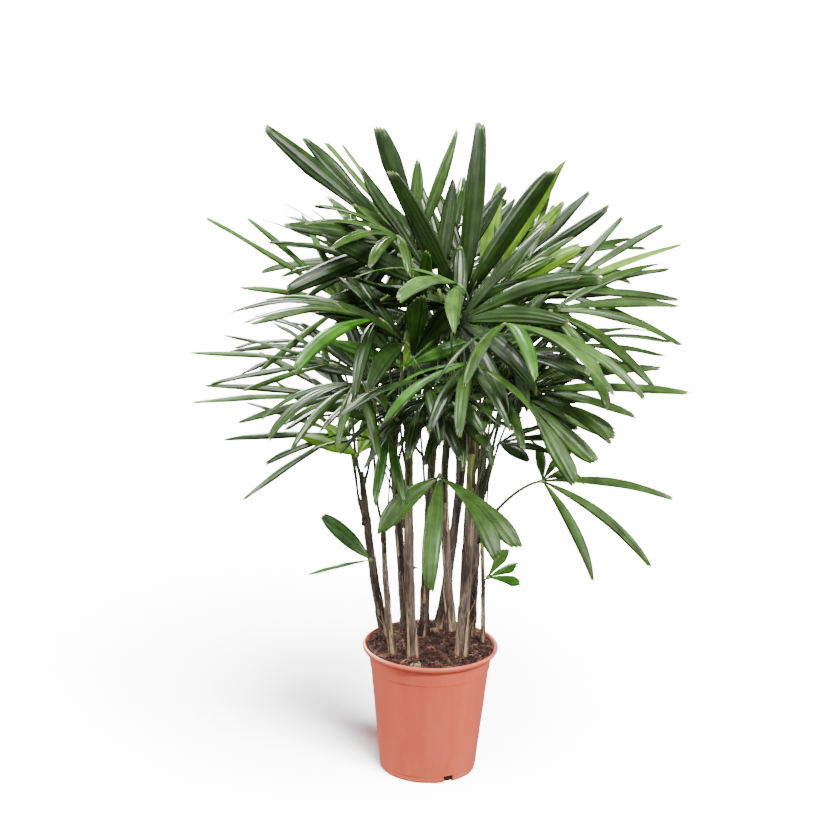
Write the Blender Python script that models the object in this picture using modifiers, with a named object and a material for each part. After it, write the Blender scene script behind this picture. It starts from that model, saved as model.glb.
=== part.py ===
"""Potted lady palm: a clump of fibrous canes in a round plastic nursery pot, with fans of pleated leaflets.

Metres, +Z up. The origin is the middle of the pot's flat underside and the front faces -Y.
"""

import itertools
import math
import random
from typing import NamedTuple

import bmesh
import bpy
from mathutils import Matrix, Vector
from mathutils.bvhtree import BVHTree

# Driving dimensions
POT_HEIGHT = 0.232
RIM_RADIUS = 0.120
RIM_HEIGHT = 0.011
NECK_RADIUS = 0.108
BASE_RADIUS = 0.085
POT_WALL = 0.002
POT_FLOOR = 0.0025
POT_STEPS = 32
SLOT_WIDTH = 0.018
SLOT_HEIGHT = 0.007
FIRST_SLOT_HEADING = -68
SLOTS = 3
SOIL_TOP = 0.226
SOIL_EDGE = 0.217
SOIL_FLAT_RADIUS = 0.099
SEAT_GAP = 0.0003
CANE_SPANS = 7
CANE_ROUNDNESS = 2
FOOT_UPRIGHT = 0.006
FOOT_FLARE = 0.22
FLARE_FADE = 14
TIP_FROM = 0.86
TIP_DRAWN_IN = 0.45
PETIOLE_RADIUS = 0.0021
PETIOLE_FOOT = 1.25
PETIOLE_TAPER = 0.35
PETIOLE_SPANS = 5
KNEE_LENGTH = 0.005
HUB_RADIUS = 0.0055
LEAFLET_START = 0.004
STIFF_STATIONS = (0, 10, 18, 24)
DROOPING_STATIONS = (0, 6, 13, 19, 24)
DROOPING_FROM = 30
LEAFLET_STEPS = 24
OFF_PLANE = 6
THICKNESS_SHARE = 0.0105
NARROWEST = 0.0016
ROOM_SHARE = 0.92
WIDEST_SPACING = 48
OUTER_SHRINK = 0.18
BLADE_SECTION = ((0, -1), (1, 1), (-1, 1))
SLEEVE_SECTION = ((1, -1), (1, 1), (-1, 1), (-1, -1))
CLEARANCE = 0.0006
TRIES = 28


class Cane(NamedTuple):
    """One cane, bent evenly from its foot to its tip."""

    foot: tuple
    middle: tuple
    tip: tuple
    foot_radius: float
    tip_radius: float


class Frond(NamedTuple):
    """One fan: heading and rise point its middle leaflet, turn rolls the fan about it, all in degrees."""

    cane: int
    leaves_at: float
    hub: tuple
    heading: float
    rise: float
    turn: float
    bearings: tuple
    length: float
    width: float
    droop: float
    shares: tuple = ()


def evenly(count, spread):
    """Bearings of leaflets spaced evenly across a fan."""
    return tuple(round(spread * (i / (count - 1) - 0.5), 1) for i in range(count))


CANES = (
    Cane((-0.081, 0.038), (-0.106, 0.022, 0.37), (-0.126, 0.002, 0.545), 0.0088, 0.0062),
    Cane((-0.066, -0.046), (-0.079, -0.062, 0.36), (-0.086, -0.080, 0.500), 0.0062, 0.0046),
    Cane((-0.031, -0.048), (-0.041, -0.056, 0.42), (-0.045, -0.045, 0.680), 0.0102, 0.0072),
    Cane((-0.012, 0.036), (-0.009, 0.010, 0.44), (0.000, 0.015, 0.690), 0.0092, 0.0068),
    Cane((0.013, 0.078), (0.036, 0.085, 0.40), (0.058, 0.100, 0.660), 0.0092, 0.0068),
    Cane((0.039, 0.062), (0.022, 0.045, 0.42), (0.017, 0.030, 0.600), 0.0088, 0.0062),
    Cane((0.054, -0.040), (0.060, -0.056, 0.45), (0.064, -0.060, 0.700), 0.0104, 0.0074),
    Cane((0.072, 0.046), (0.076, 0.028, 0.40), (0.082, 0.030, 0.600), 0.0080, 0.0058),
    Cane((0.093, 0.018), (0.090, 0.002, 0.34), (0.084, -0.012, 0.450), 0.0042, 0.0034),
    Cane((-0.045, 0.072), (-0.062, 0.090, 0.42), (-0.080, 0.112, 0.640), 0.0090, 0.0064),
)

FRONDS = (
    Frond(2, 0.640, (-0.065, 0.020, 0.943), 182, 44, -60, (-7, 3, 32, 60, 92), 0.315, 0.036, 9,
          (1, 0.94, 0.7, 0.75, 0.8)),
    Frond(9, 0.620, (-0.062, 0.110, 0.945), 165, 50, 5, (-34, -14, 6, 26, 44), 0.200, 0.022, 8),
    Frond(3, 0.655, (0.000, -0.020, 0.874), 180, 67, -62, (-58, -30, -1, 8, 40, 66), 0.300, 0.036, 6,
          (0.8, 0.6, 1, 0.86, 0.8, 0.7)),
    Frond(2, 0.665, (-0.048, -0.020, 0.925), 5, 75, 60, (-60, -28, 0, 14, 62), 0.235, 0.030, 6,
          (0.7, 0.8, 1, 0.72, 0.7)),
    Frond(6, 0.670, (0.037, -0.030, 0.856), 0, 88, 62, (-66, -30, 0, 32, 64), 0.305, 0.034, 12),
    Frond(4, 0.640, (0.072, 0.060, 0.840), 12, 61, 78, (-30, -9, 0, 21), 0.275, 0.032, 4,
          (0.7, 0.78, 1, 0.74)),
    Frond(4, 0.600, (0.075, 0.110, 0.833), 8, 42, 55, (-56, -32, -3, 9, 24), 0.280, 0.030, 12,
          (0.8, 0.8, 1, 1, 0.93)),
    Frond(6, 0.640, (0.032, -0.115, 0.842), -20, 38, 50, (-74, -48, -22, 2, 30, 60), 0.230, 0.034, 34),
    Frond(7, 0.560, (0.200, 0.020, 0.868), -3, 14, 55, (-30, -8, 8, 18, 28, 44), 0.225, 0.018, 12,
          (0.82, 0.95, 0.85, 1, 1, 0.8)),
    Frond(4, 0.620, (0.151, 0.090, 0.904), 5, 22, 25, evenly(7, 120), 0.200, 0.020, 25),
    Frond(6, 0.600, (0.186, -0.080, 0.858), -10, 10, 35, (-54, -28, -8, 14, 40), 0.225, 0.026, 34),
    Frond(6, 0.620, (0.108, -0.200, 0.862), -55, 14, 0, (-84, -54, -24, 8, 42, 72), 0.260, 0.032, 66),
    Frond(7, 0.500, (0.148, -0.080, 0.721), -12, 8, 42, (-26, -8, 5, 16, 28, 46), 0.262, 0.020, 20,
          (0.72, 0.75, 1, 0.85, 0.72, 0.6)),
    Frond(7, 0.430, (0.185, -0.050, 0.553), -8, 8, 62, (-56, -28, 0, 30, 58, 92), 0.228, 0.022, 34,
          (0.95, 1.03, 1, 0.36, 0.5, 0.42)),
    Frond(3, 0.450, (0.009, -0.130, 0.581), -92, -28, 0, (-66, -4, 46, 61), 0.205, 0.050, 42,
          (0.74, 0.96, 0.95, 0.97)),
    Frond(0, 0.350, (-0.108, 0.000, 0.385), 180, 36, -60, (-10, 44), 0.115, 0.026, 10),
    Frond(8, 0.340, (0.097, -0.030, 0.369), 0, 34, 60, (-34, -6, 26), 0.056, 0.022, 8),
    Frond(0, 0.500, (-0.134, -0.020, 0.581), 110, 50, -20, (-50, -18, 20, 52), 0.110, 0.026, 14),
    Frond(0, 0.460, (-0.166, 0.020, 0.607), 180, 12, -48, (-34, -13, 10, 28, 46), 0.235, 0.018, 10,
          (0.7, 0.75, 0.86, 0.58, 0.92)),
    Frond(0, 0.520, (-0.177, -0.070, 0.756), 182, 8, -20, (-46, -22, -4, 14, 34), 0.225, 0.017, 12,
          (0.7, 0.85, 1, 0.9, 0.8)),
    Frond(0, 0.535, (-0.171, 0.060, 0.662), 176, 18, -40, (-60, -22, 8, 20, 36), 0.250, 0.021, 12,
          (0.6, 0.7, 0.9, 1, 0.8)),
    Frond(2, 0.600, (-0.095, -0.165, 0.857), 208, 20, -10, (-76, -50, -24, 0, 26, 54), 0.240, 0.028, 50),
    Frond(9, 0.560, (-0.160, 0.040, 0.834), 180, 41, -55, (-30, -5, 8, 30, 48, 72), 0.285, 0.017, 8,
          (0.6, 0.8, 0.96, 0.68, 0.62, 0.8)),
    Frond(9, 0.600, (-0.123, 0.100, 0.885), 176, 30, -15, evenly(7, 120), 0.190, 0.020, 26),
    Frond(2, 0.580, (-0.054, -0.150, 0.816), 205, 38, -20, (-76, -42, -8, 24, 56), 0.205, 0.038, 32),
    Frond(3, 0.640, (0.032, -0.110, 0.905), 200, 26, 0, (-64, -30, 2, 34, 68), 0.190, 0.034, 56),
    Frond(2, 0.620, (-0.070, -0.070, 0.975), 215, 28, -10, evenly(6, 130), 0.160, 0.022, 46),
    Frond(6, 0.620, (0.050, -0.215, 0.800), -110, -2, 0, evenly(6, 150), 0.205, 0.032, 52),
    Frond(6, 0.560, (0.104, -0.140, 0.733), -150, 10, 0, evenly(6, 150), 0.190, 0.026, 42),
    Frond(5, 0.560, (0.036, -0.090, 0.690), -85, -16, 0, evenly(5, 130), 0.140, 0.024, 56),
    Frond(9, 0.500, (-0.086, 0.130, 0.640), 150, -12, 0, evenly(4, 130), 0.170, 0.026, 60),
    Frond(1, 0.460, (-0.130, -0.150, 0.745), 250, -4, 0, evenly(6, 120), 0.205, 0.027, 58),
    Frond(3, 0.620, (-0.020, -0.215, 0.770), -100, 4, 0, evenly(6, 150), 0.190, 0.034, 50),
    Frond(9, 0.630, (-0.100, 0.240, 0.860), 120, 30, 0, evenly(7, 130), 0.240, 0.026, 26),
    Frond(4, 0.650, (0.020, 0.250, 0.880), 85, 36, 0, evenly(7, 130), 0.240, 0.028, 24),
    Frond(4, 0.610, (0.140, 0.220, 0.840), 48, 26, 0, evenly(7, 130), 0.230, 0.026, 28),
    Frond(7, 0.580, (0.205, 0.150, 0.740), 30, 14, 0, evenly(7, 130), 0.210, 0.022, 32),
    Frond(9, 0.540, (-0.190, 0.180, 0.720), 140, 16, 0, evenly(7, 130), 0.215, 0.022, 32),
    Frond(9, 0.520, (-0.040, 0.275, 0.715), 98, 12, 0, evenly(7, 130), 0.220, 0.026, 36),
    Frond(4, 0.520, (0.090, 0.260, 0.700), 68, 10, 0, evenly(7, 130), 0.220, 0.026, 36),
    Frond(5, 0.590, (0.005, 0.150, 0.880), 95, 50, 0, evenly(6, 120), 0.190, 0.028, 16),
    Frond(7, 0.485, (0.150, -0.105, 0.712), -14, -30, 35, (-24, -2, 22), 0.160, 0.040, 16),
    Frond(9, 0.460, (-0.100, 0.190, 0.610), 118, 0, 0, evenly(6, 120), 0.190, 0.024, 34),
    Frond(4, 0.460, (0.040, 0.215, 0.590), 88, -2, 0, evenly(6, 130), 0.205, 0.026, 36),
    Frond(2, 0.560, (-0.057, -0.090, 0.757), 95, 74, 0, evenly(6, 130), 0.140, 0.028, 10),
    Frond(6, 0.520, (0.120, -0.110, 0.790), -35, 20, 0, evenly(6, 150), 0.200, 0.028, 40),
    Frond(3, 0.560, (-0.015, -0.130, 0.715), -115, -6, 0, evenly(6, 150), 0.190, 0.030, 50),
    Frond(0, 0.520, (-0.115, -0.080, 0.705), 228, 8, 0, evenly(6, 130), 0.180, 0.026, 44),
)


def clear_scene():
    for obj in list(bpy.data.objects):
        bpy.data.objects.remove(obj, do_unlink=True)


def make_material(name, colour, roughness):
    material = bpy.data.materials.new(name)
    material.use_nodes = True
    shader = material.node_tree.nodes["Principled BSDF"]
    shader.inputs["Base Color"].default_value = (*colour, 1)
    shader.inputs["Roughness"].default_value = roughness
    shader.inputs["Metallic"].default_value = 0
    return material


def add_collection(name):
    collection = bpy.data.collections.new(name)
    bpy.context.scene.collection.children.link(collection)
    return collection


def add_object(name, bm, collection, material=None):
    """Turns a bmesh into a named object and frees it."""
    mesh = bpy.data.meshes.new(name)
    bmesh.ops.recalc_face_normals(bm, faces=bm.faces)
    bm.to_mesh(mesh)
    bm.free()
    obj = bpy.data.objects.new(name, mesh)
    collection.objects.link(obj)
    if material:
        mesh.materials.append(material)
    return obj


# Turned pieces

def turned(name, profile, steps, collection, material):
    """Turns a profile of (radius, height) pairs, outer side first and downwards, into a closed solid."""
    mesh = bpy.data.meshes.new(name)
    points = [(radius, 0, height) for radius, height in profile]
    mesh.from_pydata(points, [(i, i + 1) for i in range(len(points) - 1)], [])
    obj = bpy.data.objects.new(name, mesh)
    collection.objects.link(obj)
    mesh.materials.append(material)
    screw = obj.modifiers.new("Turn", "SCREW")
    screw.axis = "Z"
    screw.steps = screw.render_steps = steps
    screw.use_merge_vertices = True
    screw.merge_threshold = 1e-5
    screw.use_smooth_shade = True
    return obj


def body_radius(height):
    """Outer radius of the tapered pot wall."""
    return BASE_RADIUS + (NECK_RADIUS - BASE_RADIUS) * height / (POT_HEIGHT - RIM_HEIGHT)


def make_pot(collection, cutters, material):
    """The pot: a rolled lip, a ring moulded under it, a tapered wall, a base ring and a flat underside."""
    lip_bottom = POT_HEIGHT - RIM_HEIGHT
    ring = lip_bottom - 0.028
    base_ring = 0.012
    step = 0.0006
    inner_neck = NECK_RADIUS - POT_WALL
    profile = [
        (RIM_RADIUS - 0.0035, POT_HEIGHT),
        (RIM_RADIUS - 0.0008, POT_HEIGHT - 0.0015),
        (RIM_RADIUS, POT_HEIGHT - 0.0045),
        (RIM_RADIUS - 0.0008, lip_bottom),
        (NECK_RADIUS + 0.0035, lip_bottom - 0.0010),
        (NECK_RADIUS + step, lip_bottom - 0.0060),
        (body_radius(ring) + step, ring),
        (body_radius(ring), ring - 0.0015),
        (body_radius(base_ring), base_ring),
        (body_radius(base_ring) - step, base_ring - 0.0012),
        (BASE_RADIUS - 0.0010, 0.0015),
        (BASE_RADIUS - 0.0025, 0),
        (0, 0),
        (0, POT_FLOOR),
        (BASE_RADIUS - POT_WALL - 0.0010, POT_FLOOR),
        (inner_neck, lip_bottom - 0.0080),
        (RIM_RADIUS - 0.0070, POT_HEIGHT - 0.0020),
        (RIM_RADIUS - 0.0055, POT_HEIGHT),
        (RIM_RADIUS - 0.0035, POT_HEIGHT),
    ]
    pot = turned("pot", profile, POT_STEPS, collection, material)
    slot_reach = 0.012
    for i in range(SLOTS):
        heading = math.radians(FIRST_SLOT_HEADING + 360 / SLOTS * i)
        bm = bmesh.new()
        bmesh.ops.create_cube(bm, size=1)
        place = Matrix.Rotation(heading, 4, "Z") @ Matrix.Translation((BASE_RADIUS, 0, 0))
        size = Matrix.Diagonal((2 * slot_reach, SLOT_WIDTH, 2 * SLOT_HEIGHT, 1))
        bmesh.ops.transform(bm, matrix=place @ size, verts=bm.verts)
        cutter = add_object(f"slot_cutter_{i + 1}", bm, cutters)
        cutter.display_type = "WIRE"
        cutter.hide_render = True
        cut = pot.modifiers.new(f"Slot {i + 1}", "BOOLEAN")
        cut.operation = "DIFFERENCE"
        cut.object = cutter
    return pot


def make_soil(collection, material):
    """The filling: a tapered plug, flat where the canes stand and lower along the wall."""
    floor = POT_FLOOR + SEAT_GAP
    edge = body_radius(SOIL_EDGE) - POT_WALL - 0.0012
    foot = body_radius(floor) - POT_WALL - 0.0020
    profile = [
        (0, SOIL_TOP),
        (SOIL_FLAT_RADIUS, SOIL_TOP),
        (edge, SOIL_EDGE),
        (foot, floor),
        (0, floor),
    ]
    return turned("soil", profile, POT_STEPS, collection, material)


# Canes

def cane_point(cane, share):
    """Point on the cane's bent axis, from its foot at 0 to its tip at 1."""
    foot = Vector((*cane.foot, SOIL_TOP + SEAT_GAP))
    middle = 2 * Vector(cane.middle) - (foot + Vector(cane.tip)) / 2
    return foot.lerp(middle, share).lerp(middle.lerp(Vector(cane.tip), share), share)


def cane_radius(cane, share):
    """The cane's radius: flared at its foot, then an even taper, drawn in at its tip."""
    flare = 1 + FOOT_FLARE * math.exp(-share * FLARE_FADE)
    drawn_in = 1 - TIP_DRAWN_IN * max(share - TIP_FROM, 0) / (1 - TIP_FROM)
    return (cane.foot_radius + (cane.tip_radius - cane.foot_radius) * share) * flare * drawn_in


def cane_share_at(cane, height):
    """Share of the cane's axis that lies at a height."""
    low, high = 0.0, 1.0
    for _ in range(24):
        half = (low + high) / 2
        if cane_point(cane, half).z < height:
            low = half
        else:
            high = half
    return (low + high) / 2


def tube(name, points, radii, roundness, collection, material=None):
    """A mesh tube along the points, welded at its caps."""
    data = bpy.data.curves.new(name, "CURVE")
    data.dimensions = "3D"
    data.bevel_depth = 1
    data.bevel_resolution = roundness
    data.use_fill_caps = True
    spline = data.splines.new("POLY")
    spline.points.add(len(points) - 1)
    for spot, point, radius in zip(spline.points, points, radii):
        spot.co = (*point, 1)
        spot.radius = radius
    curve = bpy.data.objects.new(name, data)
    collection.objects.link(curve)
    bpy.context.view_layer.update()
    evaluated = curve.evaluated_get(bpy.context.evaluated_depsgraph_get())
    bm = bmesh.new()
    bm.from_mesh(bpy.data.meshes.new_from_object(evaluated))
    bmesh.ops.remove_doubles(bm, verts=bm.verts, dist=1e-5)
    bpy.data.objects.remove(curve)
    bpy.data.curves.remove(data)
    return add_object(name, bm, collection, material)


def make_cane(number, cane, collection, material):
    """One cane, upright for its first millimetres so that its foot is a level cut."""
    shares = [i / CANE_SPANS for i in range(CANE_SPANS + 1)]
    points = [cane_point(cane, share) for share in shares]
    radii = [cane_radius(cane, share) for share in shares]
    points.insert(1, points[0] + Vector((0, 0, FOOT_UPRIGHT)))
    radii.insert(1, radii[0])
    obj = tube(f"cane_{number}", points, radii, CANE_ROUNDNESS, collection, material)
    obj.data.shade_smooth()
    return obj


# Fronds

def bezier(a, b, c, d, share):
    """Point on a cubic curve."""
    rest = 1 - share
    return a * rest ** 3 + b * 3 * rest ** 2 * share + c * 3 * rest * share ** 2 + d * share ** 3


def petiole_path(frond, seat, normal, bow):
    """Leaf stalk: square out of the cane for a few millimetres, then up in a slight arch to its fan."""
    knee = seat + normal * KNEE_LENGTH
    hub = Vector(frond.hub)
    reach = (hub - knee).length
    side = Vector((-normal.y, normal.x, 0)) * bow * reach
    rising = knee + (hub - knee) * 0.20 + Vector((0, 0, 0.18 * reach)) + side
    arriving = hub - fan_frame(frond)[0] * 0.20 * reach + side
    shares = [i / PETIOLE_SPANS for i in range(PETIOLE_SPANS + 1)]
    return [seat] + [bezier(knee, rising, arriving, hub, share) for share in shares]


def fan_frame(frond):
    """Middle direction, side direction and upper normal of a fan."""
    heading = math.radians(frond.heading)
    rise = math.radians(frond.rise)
    middle = Vector((math.cos(rise) * math.cos(heading), math.cos(rise) * math.sin(heading), math.sin(rise)))
    level = Vector((-math.sin(heading), math.cos(heading), 0))
    roll = Matrix.Rotation(math.radians(frond.turn), 3, middle)
    side = roll @ level
    return middle, side, middle.cross(side)


def blade_share(t):
    """Width of a leaflet along its length as a share of its full width: narrow root, blunt tip."""
    if t < 0.55:
        return 0.14 + 0.86 * math.sin(math.pi / 2 * t / 0.55) ** 0.9
    return 1 - 0.60 * ((t - 0.55) / 0.45) ** 2.3


class Leaflet(NamedTuple):
    """Stations along one leaflet: points, directions across it, and half widths."""

    points: list
    across: list
    half_widths: list
    length: float


def lay_leaflet(frond, bearing, spacing, length, width, lift, droop):
    """Lays one leaflet from the hub: it leaves at its bearing, then bends down under its weight."""
    middle, side, normal = fan_frame(frond)
    angle = math.radians(bearing)
    start = middle * math.cos(angle) + side * math.sin(angle)
    across = side * math.cos(angle) - middle * math.sin(angle)
    tip_up = Matrix.Rotation(-math.radians(lift), 3, across)
    start = tip_up @ start
    level = math.hypot(start.x, start.y)
    down = Vector((0, 0, -1))
    axis = start.cross(down)
    axis = axis.normalized() if axis.length > 1e-6 else across
    most = max(start.angle(down) - math.radians(6), 0)
    bend = min(math.radians(droop) * level, most)
    steps = LEAFLET_STEPS
    point = Vector(frond.hub) + start * LEAFLET_START
    found = [(point.copy(), across.copy(), LEAFLET_START)]
    for i in range(steps):
        turn = Matrix.Rotation(bend * ((i + 0.5) / steps) ** 1.2, 3, axis)
        point = point + turn @ start * (length / steps)
        turn_here = Matrix.Rotation(bend * ((i + 1) / steps) ** 1.2, 3, axis)
        found.append((point.copy(), turn_here @ across, LEAFLET_START + length * (i + 1) / steps))
    room = math.tan(math.radians(spacing) / 2) * ROOM_SHARE
    stations = DROOPING_STATIONS if frond.droop >= DROOPING_FROM else STIFF_STATIONS
    picked = [found[step] for step in stations]
    half_widths = [min(width / 2 * blade_share(step / steps), max(spot[2] * room, NARROWEST))
                   for step, spot in zip(stations, picked)]
    return Leaflet([s[0] for s in picked], [s[1] for s in picked], half_widths, length)


def leaflet_shape(leaflet, section=BLADE_SECTION, grow=0.0):
    """A closed blade along the stations; its section lists corners as shares of half width and thickness."""
    corners = len(section)
    spans = len(leaflet.points) - 1
    bm = bmesh.new()
    bmesh.ops.create_cone(bm, cap_ends=True, segments=corners, radius1=1, radius2=1, depth=1)
    long_edges = [e for e in bm.edges if abs(e.verts[0].co.z - e.verts[1].co.z) > 0.5]
    bmesh.ops.subdivide_edges(bm, edges=long_edges, cuts=spans - 1, use_grid_fill=True)
    half_thick = leaflet.length * THICKNESS_SHARE / 2 + grow
    for vert in bm.verts:
        at = round((vert.co.z + 0.5) * spans)
        corner = round(math.atan2(vert.co.y, vert.co.x) / math.tau * corners) % corners
        towards, up = section[corner]
        before = leaflet.points[max(at - 1, 0)]
        after = leaflet.points[min(at + 1, spans)]
        across = leaflet.across[at]
        normal = (after - before).cross(across).normalized()
        out = across * towards * (leaflet.half_widths[at] + grow)
        vert.co = leaflet.points[at] + out + normal * up * half_thick
    bmesh.ops.recalc_face_normals(bm, faces=bm.faces)
    return bm


def tree_of(bm):
    """Search tree and bounding box of a bmesh."""
    bm.verts.ensure_lookup_table()
    points = [v.co.copy() for v in bm.verts]
    low = Vector([min(p[k] for p in points) for k in range(3)])
    high = Vector([max(p[k] for p in points) for k in range(3)])
    return BVHTree.FromBMesh(bm), low, high


def tree_of_object(obj):
    """Search tree and bounding box of an object, with its modifiers."""
    bm = bmesh.new()
    bm.from_object(obj, bpy.context.evaluated_depsgraph_get())
    found = tree_of(bm)
    bm.free()
    return found


def meets_any(trial, placed):
    """Whether a trial tree cuts any placed one."""
    tree, low, high = trial
    for other, other_low, other_high in placed:
        if any(low[k] > other_high[k] or high[k] < other_low[k] for k in range(3)):
            continue
        if tree.overlap(other):
            return True
    return False


def petiole_seat(frond, cane, cane_tree, swing):
    """Where the stalk leaves its cane: just off the facet that faces the fan, or a swing round from it."""
    axis = cane_point(cane, cane_share_at(cane, frond.leaves_at))
    outward = Vector(frond.hub) - axis
    outward.z = 0
    outward = Matrix.Rotation(math.radians(swing), 3, "Z") @ outward.normalized()
    outside = axis + outward * 2 * cane.foot_radius
    spot, normal, _, _ = cane_tree.find_nearest(outside)
    return spot + normal * SEAT_GAP, normal


def petiole_tube(name, path, radius, collection):
    """A stalk along the path, stoutest at its foot."""
    last = len(path) - 1
    radii = [radius * (PETIOLE_FOOT - PETIOLE_TAPER * i / last) for i in range(len(path))]
    return tube(name, path, radii, 0, collection)


def swept_tree(path, radius, helpers):
    """Search tree of a stalk along the path."""
    stalk = petiole_tube("trial", path, radius, helpers)
    found = tree_of_object(stalk)
    bpy.data.objects.remove(stalk)
    return found


def lay_petioles(cane_trees, hub_trees, helpers):
    """Every stalk in turn, swung round and bowed just enough to miss canes, hubs and the stalks before it."""
    swings = (0, 30, -30, 60, -60, 90, -90)
    bows = (0, 0.06, -0.06, 0.12, -0.12, 0.18, -0.18, 0.26, -0.26)
    ways = sorted(itertools.product(swings, bows), key=lambda way: abs(way[0]) / 90 + abs(way[1]) / 0.2)
    wide = PETIOLE_RADIUS + CLEARANCE
    placed = []
    found = []
    for number, frond in enumerate(FRONDS, 1):
        own = cane_trees[frond.cane]
        others = [tree for i, tree in enumerate(cane_trees) if i != frond.cane]
        others += [tree for i, tree in enumerate(hub_trees, 1) if i != number]
        for swing, bow in ways:
            seat, normal = petiole_seat(frond, CANES[frond.cane], own[0], swing)
            path = petiole_path(frond, seat, normal, bow)
            if meets_any(swept_tree(path, wide, helpers), others + placed):
                continue
            if not meets_any(swept_tree(path[1:], wide, helpers), [own]):
                break
        else:
            raise ValueError(f"stalk {number} has no clear way to its hub")
        found.append(petiole_tube(f"stalk_{number}", path, PETIOLE_RADIUS, helpers))
        placed.append(swept_tree(path, PETIOLE_RADIUS, helpers))
    return found, placed


def lay_fan(number, frond, blocked):
    """The fan's leaflets: each is turned a little until it is clear, then shortened, then left out."""
    chance = random.Random(number)
    bearings = frond.bearings
    gaps = [b - a for a, b in zip(bearings, bearings[1:])]
    found = []
    for i, bearing in enumerate(bearings):
        near = gaps[max(i - 1, 0):i + 1]
        spacing = min(*near, WIDEST_SPACING)
        share = frond.shares[i] if frond.shares else 1
        shrink = 1 - OUTER_SHRINK * (1 - math.cos(math.radians(bearing)))
        length = frond.length * share * shrink * chance.uniform(0.94, 1.04)
        width = frond.width * chance.uniform(0.88, 1.04)
        droop = frond.droop * chance.uniform(0.8, 1.25) / share
        lift = chance.uniform(-OFF_PLANE, OFF_PLANE)
        for trial in range(TRIES):
            reach = trial / TRIES
            nudged = bearing + chance.uniform(-14, 14) * reach
            raised = lift + chance.uniform(-26, 26) * reach
            cut = 1 - max(reach - 0.5, 0) * chance.uniform(0.6, 1.1)
            leaflet = lay_leaflet(frond, nudged, spacing, length * cut, width, raised, droop)
            bm = leaflet_shape(leaflet, SLEEVE_SECTION, CLEARANCE)
            tree = tree_of(bm)
            bm.free()
            if not meets_any(tree, blocked):
                found.append(leaflet)
                break
    return found


def fuse(name, pieces, collection, material):
    """Joins loose solids into one body with a single union."""
    group = bpy.data.collections.new(f"{name}_pieces")
    bpy.context.scene.collection.children.link(group)
    first, rest = pieces[0], pieces[1:]
    for piece in rest:
        for home in list(piece.users_collection):
            home.objects.unlink(piece)
        group.objects.link(piece)
    first.name = name
    for home in list(first.users_collection):
        home.objects.unlink(first)
    collection.objects.link(first)
    union = first.modifiers.new("Join", "BOOLEAN")
    union.operation = "UNION"
    union.operand_type = "COLLECTION"
    union.collection = group
    union.solver = "MANIFOLD"
    bpy.context.view_layer.update()
    evaluated = first.evaluated_get(bpy.context.evaluated_depsgraph_get())
    joined = bpy.data.meshes.new_from_object(evaluated)
    first.modifiers.clear()
    first.data = joined
    joined.materials.clear()
    joined.materials.append(material)
    for piece in rest:
        bpy.data.objects.remove(piece)
    bpy.data.collections.remove(group)
    return first


def make_frond(number, frond, stem, leaflets, helpers, collection, material):
    """One frond: stalk, hub and leaflets in one body."""
    hub = bmesh.new()
    bmesh.ops.create_icosphere(hub, subdivisions=1, radius=HUB_RADIUS)
    bmesh.ops.translate(hub, verts=hub.verts, vec=Vector(frond.hub))
    pieces = [add_object(f"hub_{number}", hub, helpers)]
    pieces.append(stem)
    for i, leaflet in enumerate(leaflets):
        pieces.append(add_object(f"leaflet_{number}_{i}", leaflet_shape(leaflet), helpers))
    return fuse(f"frond_{number:02d}", pieces, collection, material)


def hub_tree(frond):
    """Search tree of the ball that a fan's leaflets leave from."""
    bm = bmesh.new()
    bmesh.ops.create_icosphere(bm, subdivisions=1, radius=HUB_RADIUS + CLEARANCE)
    bmesh.ops.translate(bm, verts=bm.verts, vec=Vector(frond.hub))
    found = tree_of(bm)
    bm.free()
    return found


def main():
    clear_scene()
    palm = add_collection("lady_palm")
    cutters = add_collection("cutters")
    helpers = add_collection("helpers")
    terracotta_plastic = make_material("Terracotta coloured plastic", (0.60, 0.20, 0.14), 0.55)
    coir_soil = make_material("Coir potting soil", (0.07, 0.025, 0.015), 0.95)
    fibrous_cane = make_material("Fibrous cane", (0.10, 0.06, 0.04), 0.85)
    palm_leaf = make_material("Palm leaf", (0.04, 0.11, 0.025), 0.42)

    pot = make_pot(palm, cutters, terracotta_plastic)
    soil = make_soil(palm, coir_soil)
    canes = [make_cane(i, cane, palm, fibrous_cane) for i, cane in enumerate(CANES, 1)]
    bpy.context.view_layer.update()
    cane_trees = [tree_of_object(cane) for cane in canes]
    solid_trees = [tree_of_object(pot), tree_of_object(soil)] + cane_trees

    hub_trees = [hub_tree(frond) for frond in FRONDS]
    stems, stem_trees = lay_petioles(cane_trees, hub_trees, helpers)
    leaf_trees = []
    for number, frond in enumerate(FRONDS, 1):
        other = [k for k in range(len(FRONDS)) if k != number - 1]
        blocked = solid_trees + [stem_trees[k] for k in other] + [hub_trees[k] for k in other] + leaf_trees
        leaflets = lay_fan(number, frond, blocked)
        for leaflet in leaflets:
            bm = leaflet_shape(leaflet)
            leaf_trees.append(tree_of(bm))
            bm.free()
        make_frond(number, frond, stems[number - 1], leaflets, helpers, palm, palm_leaf)
    bpy.data.collections.remove(helpers)


if __name__ == "__main__":
    main()
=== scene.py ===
"""Dressed model of the potted lady palm: pleated leaflets, fibrous canes, coir soil and a moulded plastic pot.

Metres, +Z up. The origin is the middle of the pot's underside and the front faces -Y. The canes, the leaf
stalks and the leaflets are laid by the same seeded rule as the solids, then finished finer within their reach.
"""

import itertools
import math
import random
from typing import NamedTuple

import bmesh
import bpy
from mathutils import Matrix, Vector, noise
from mathutils.bvhtree import BVHTree


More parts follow.
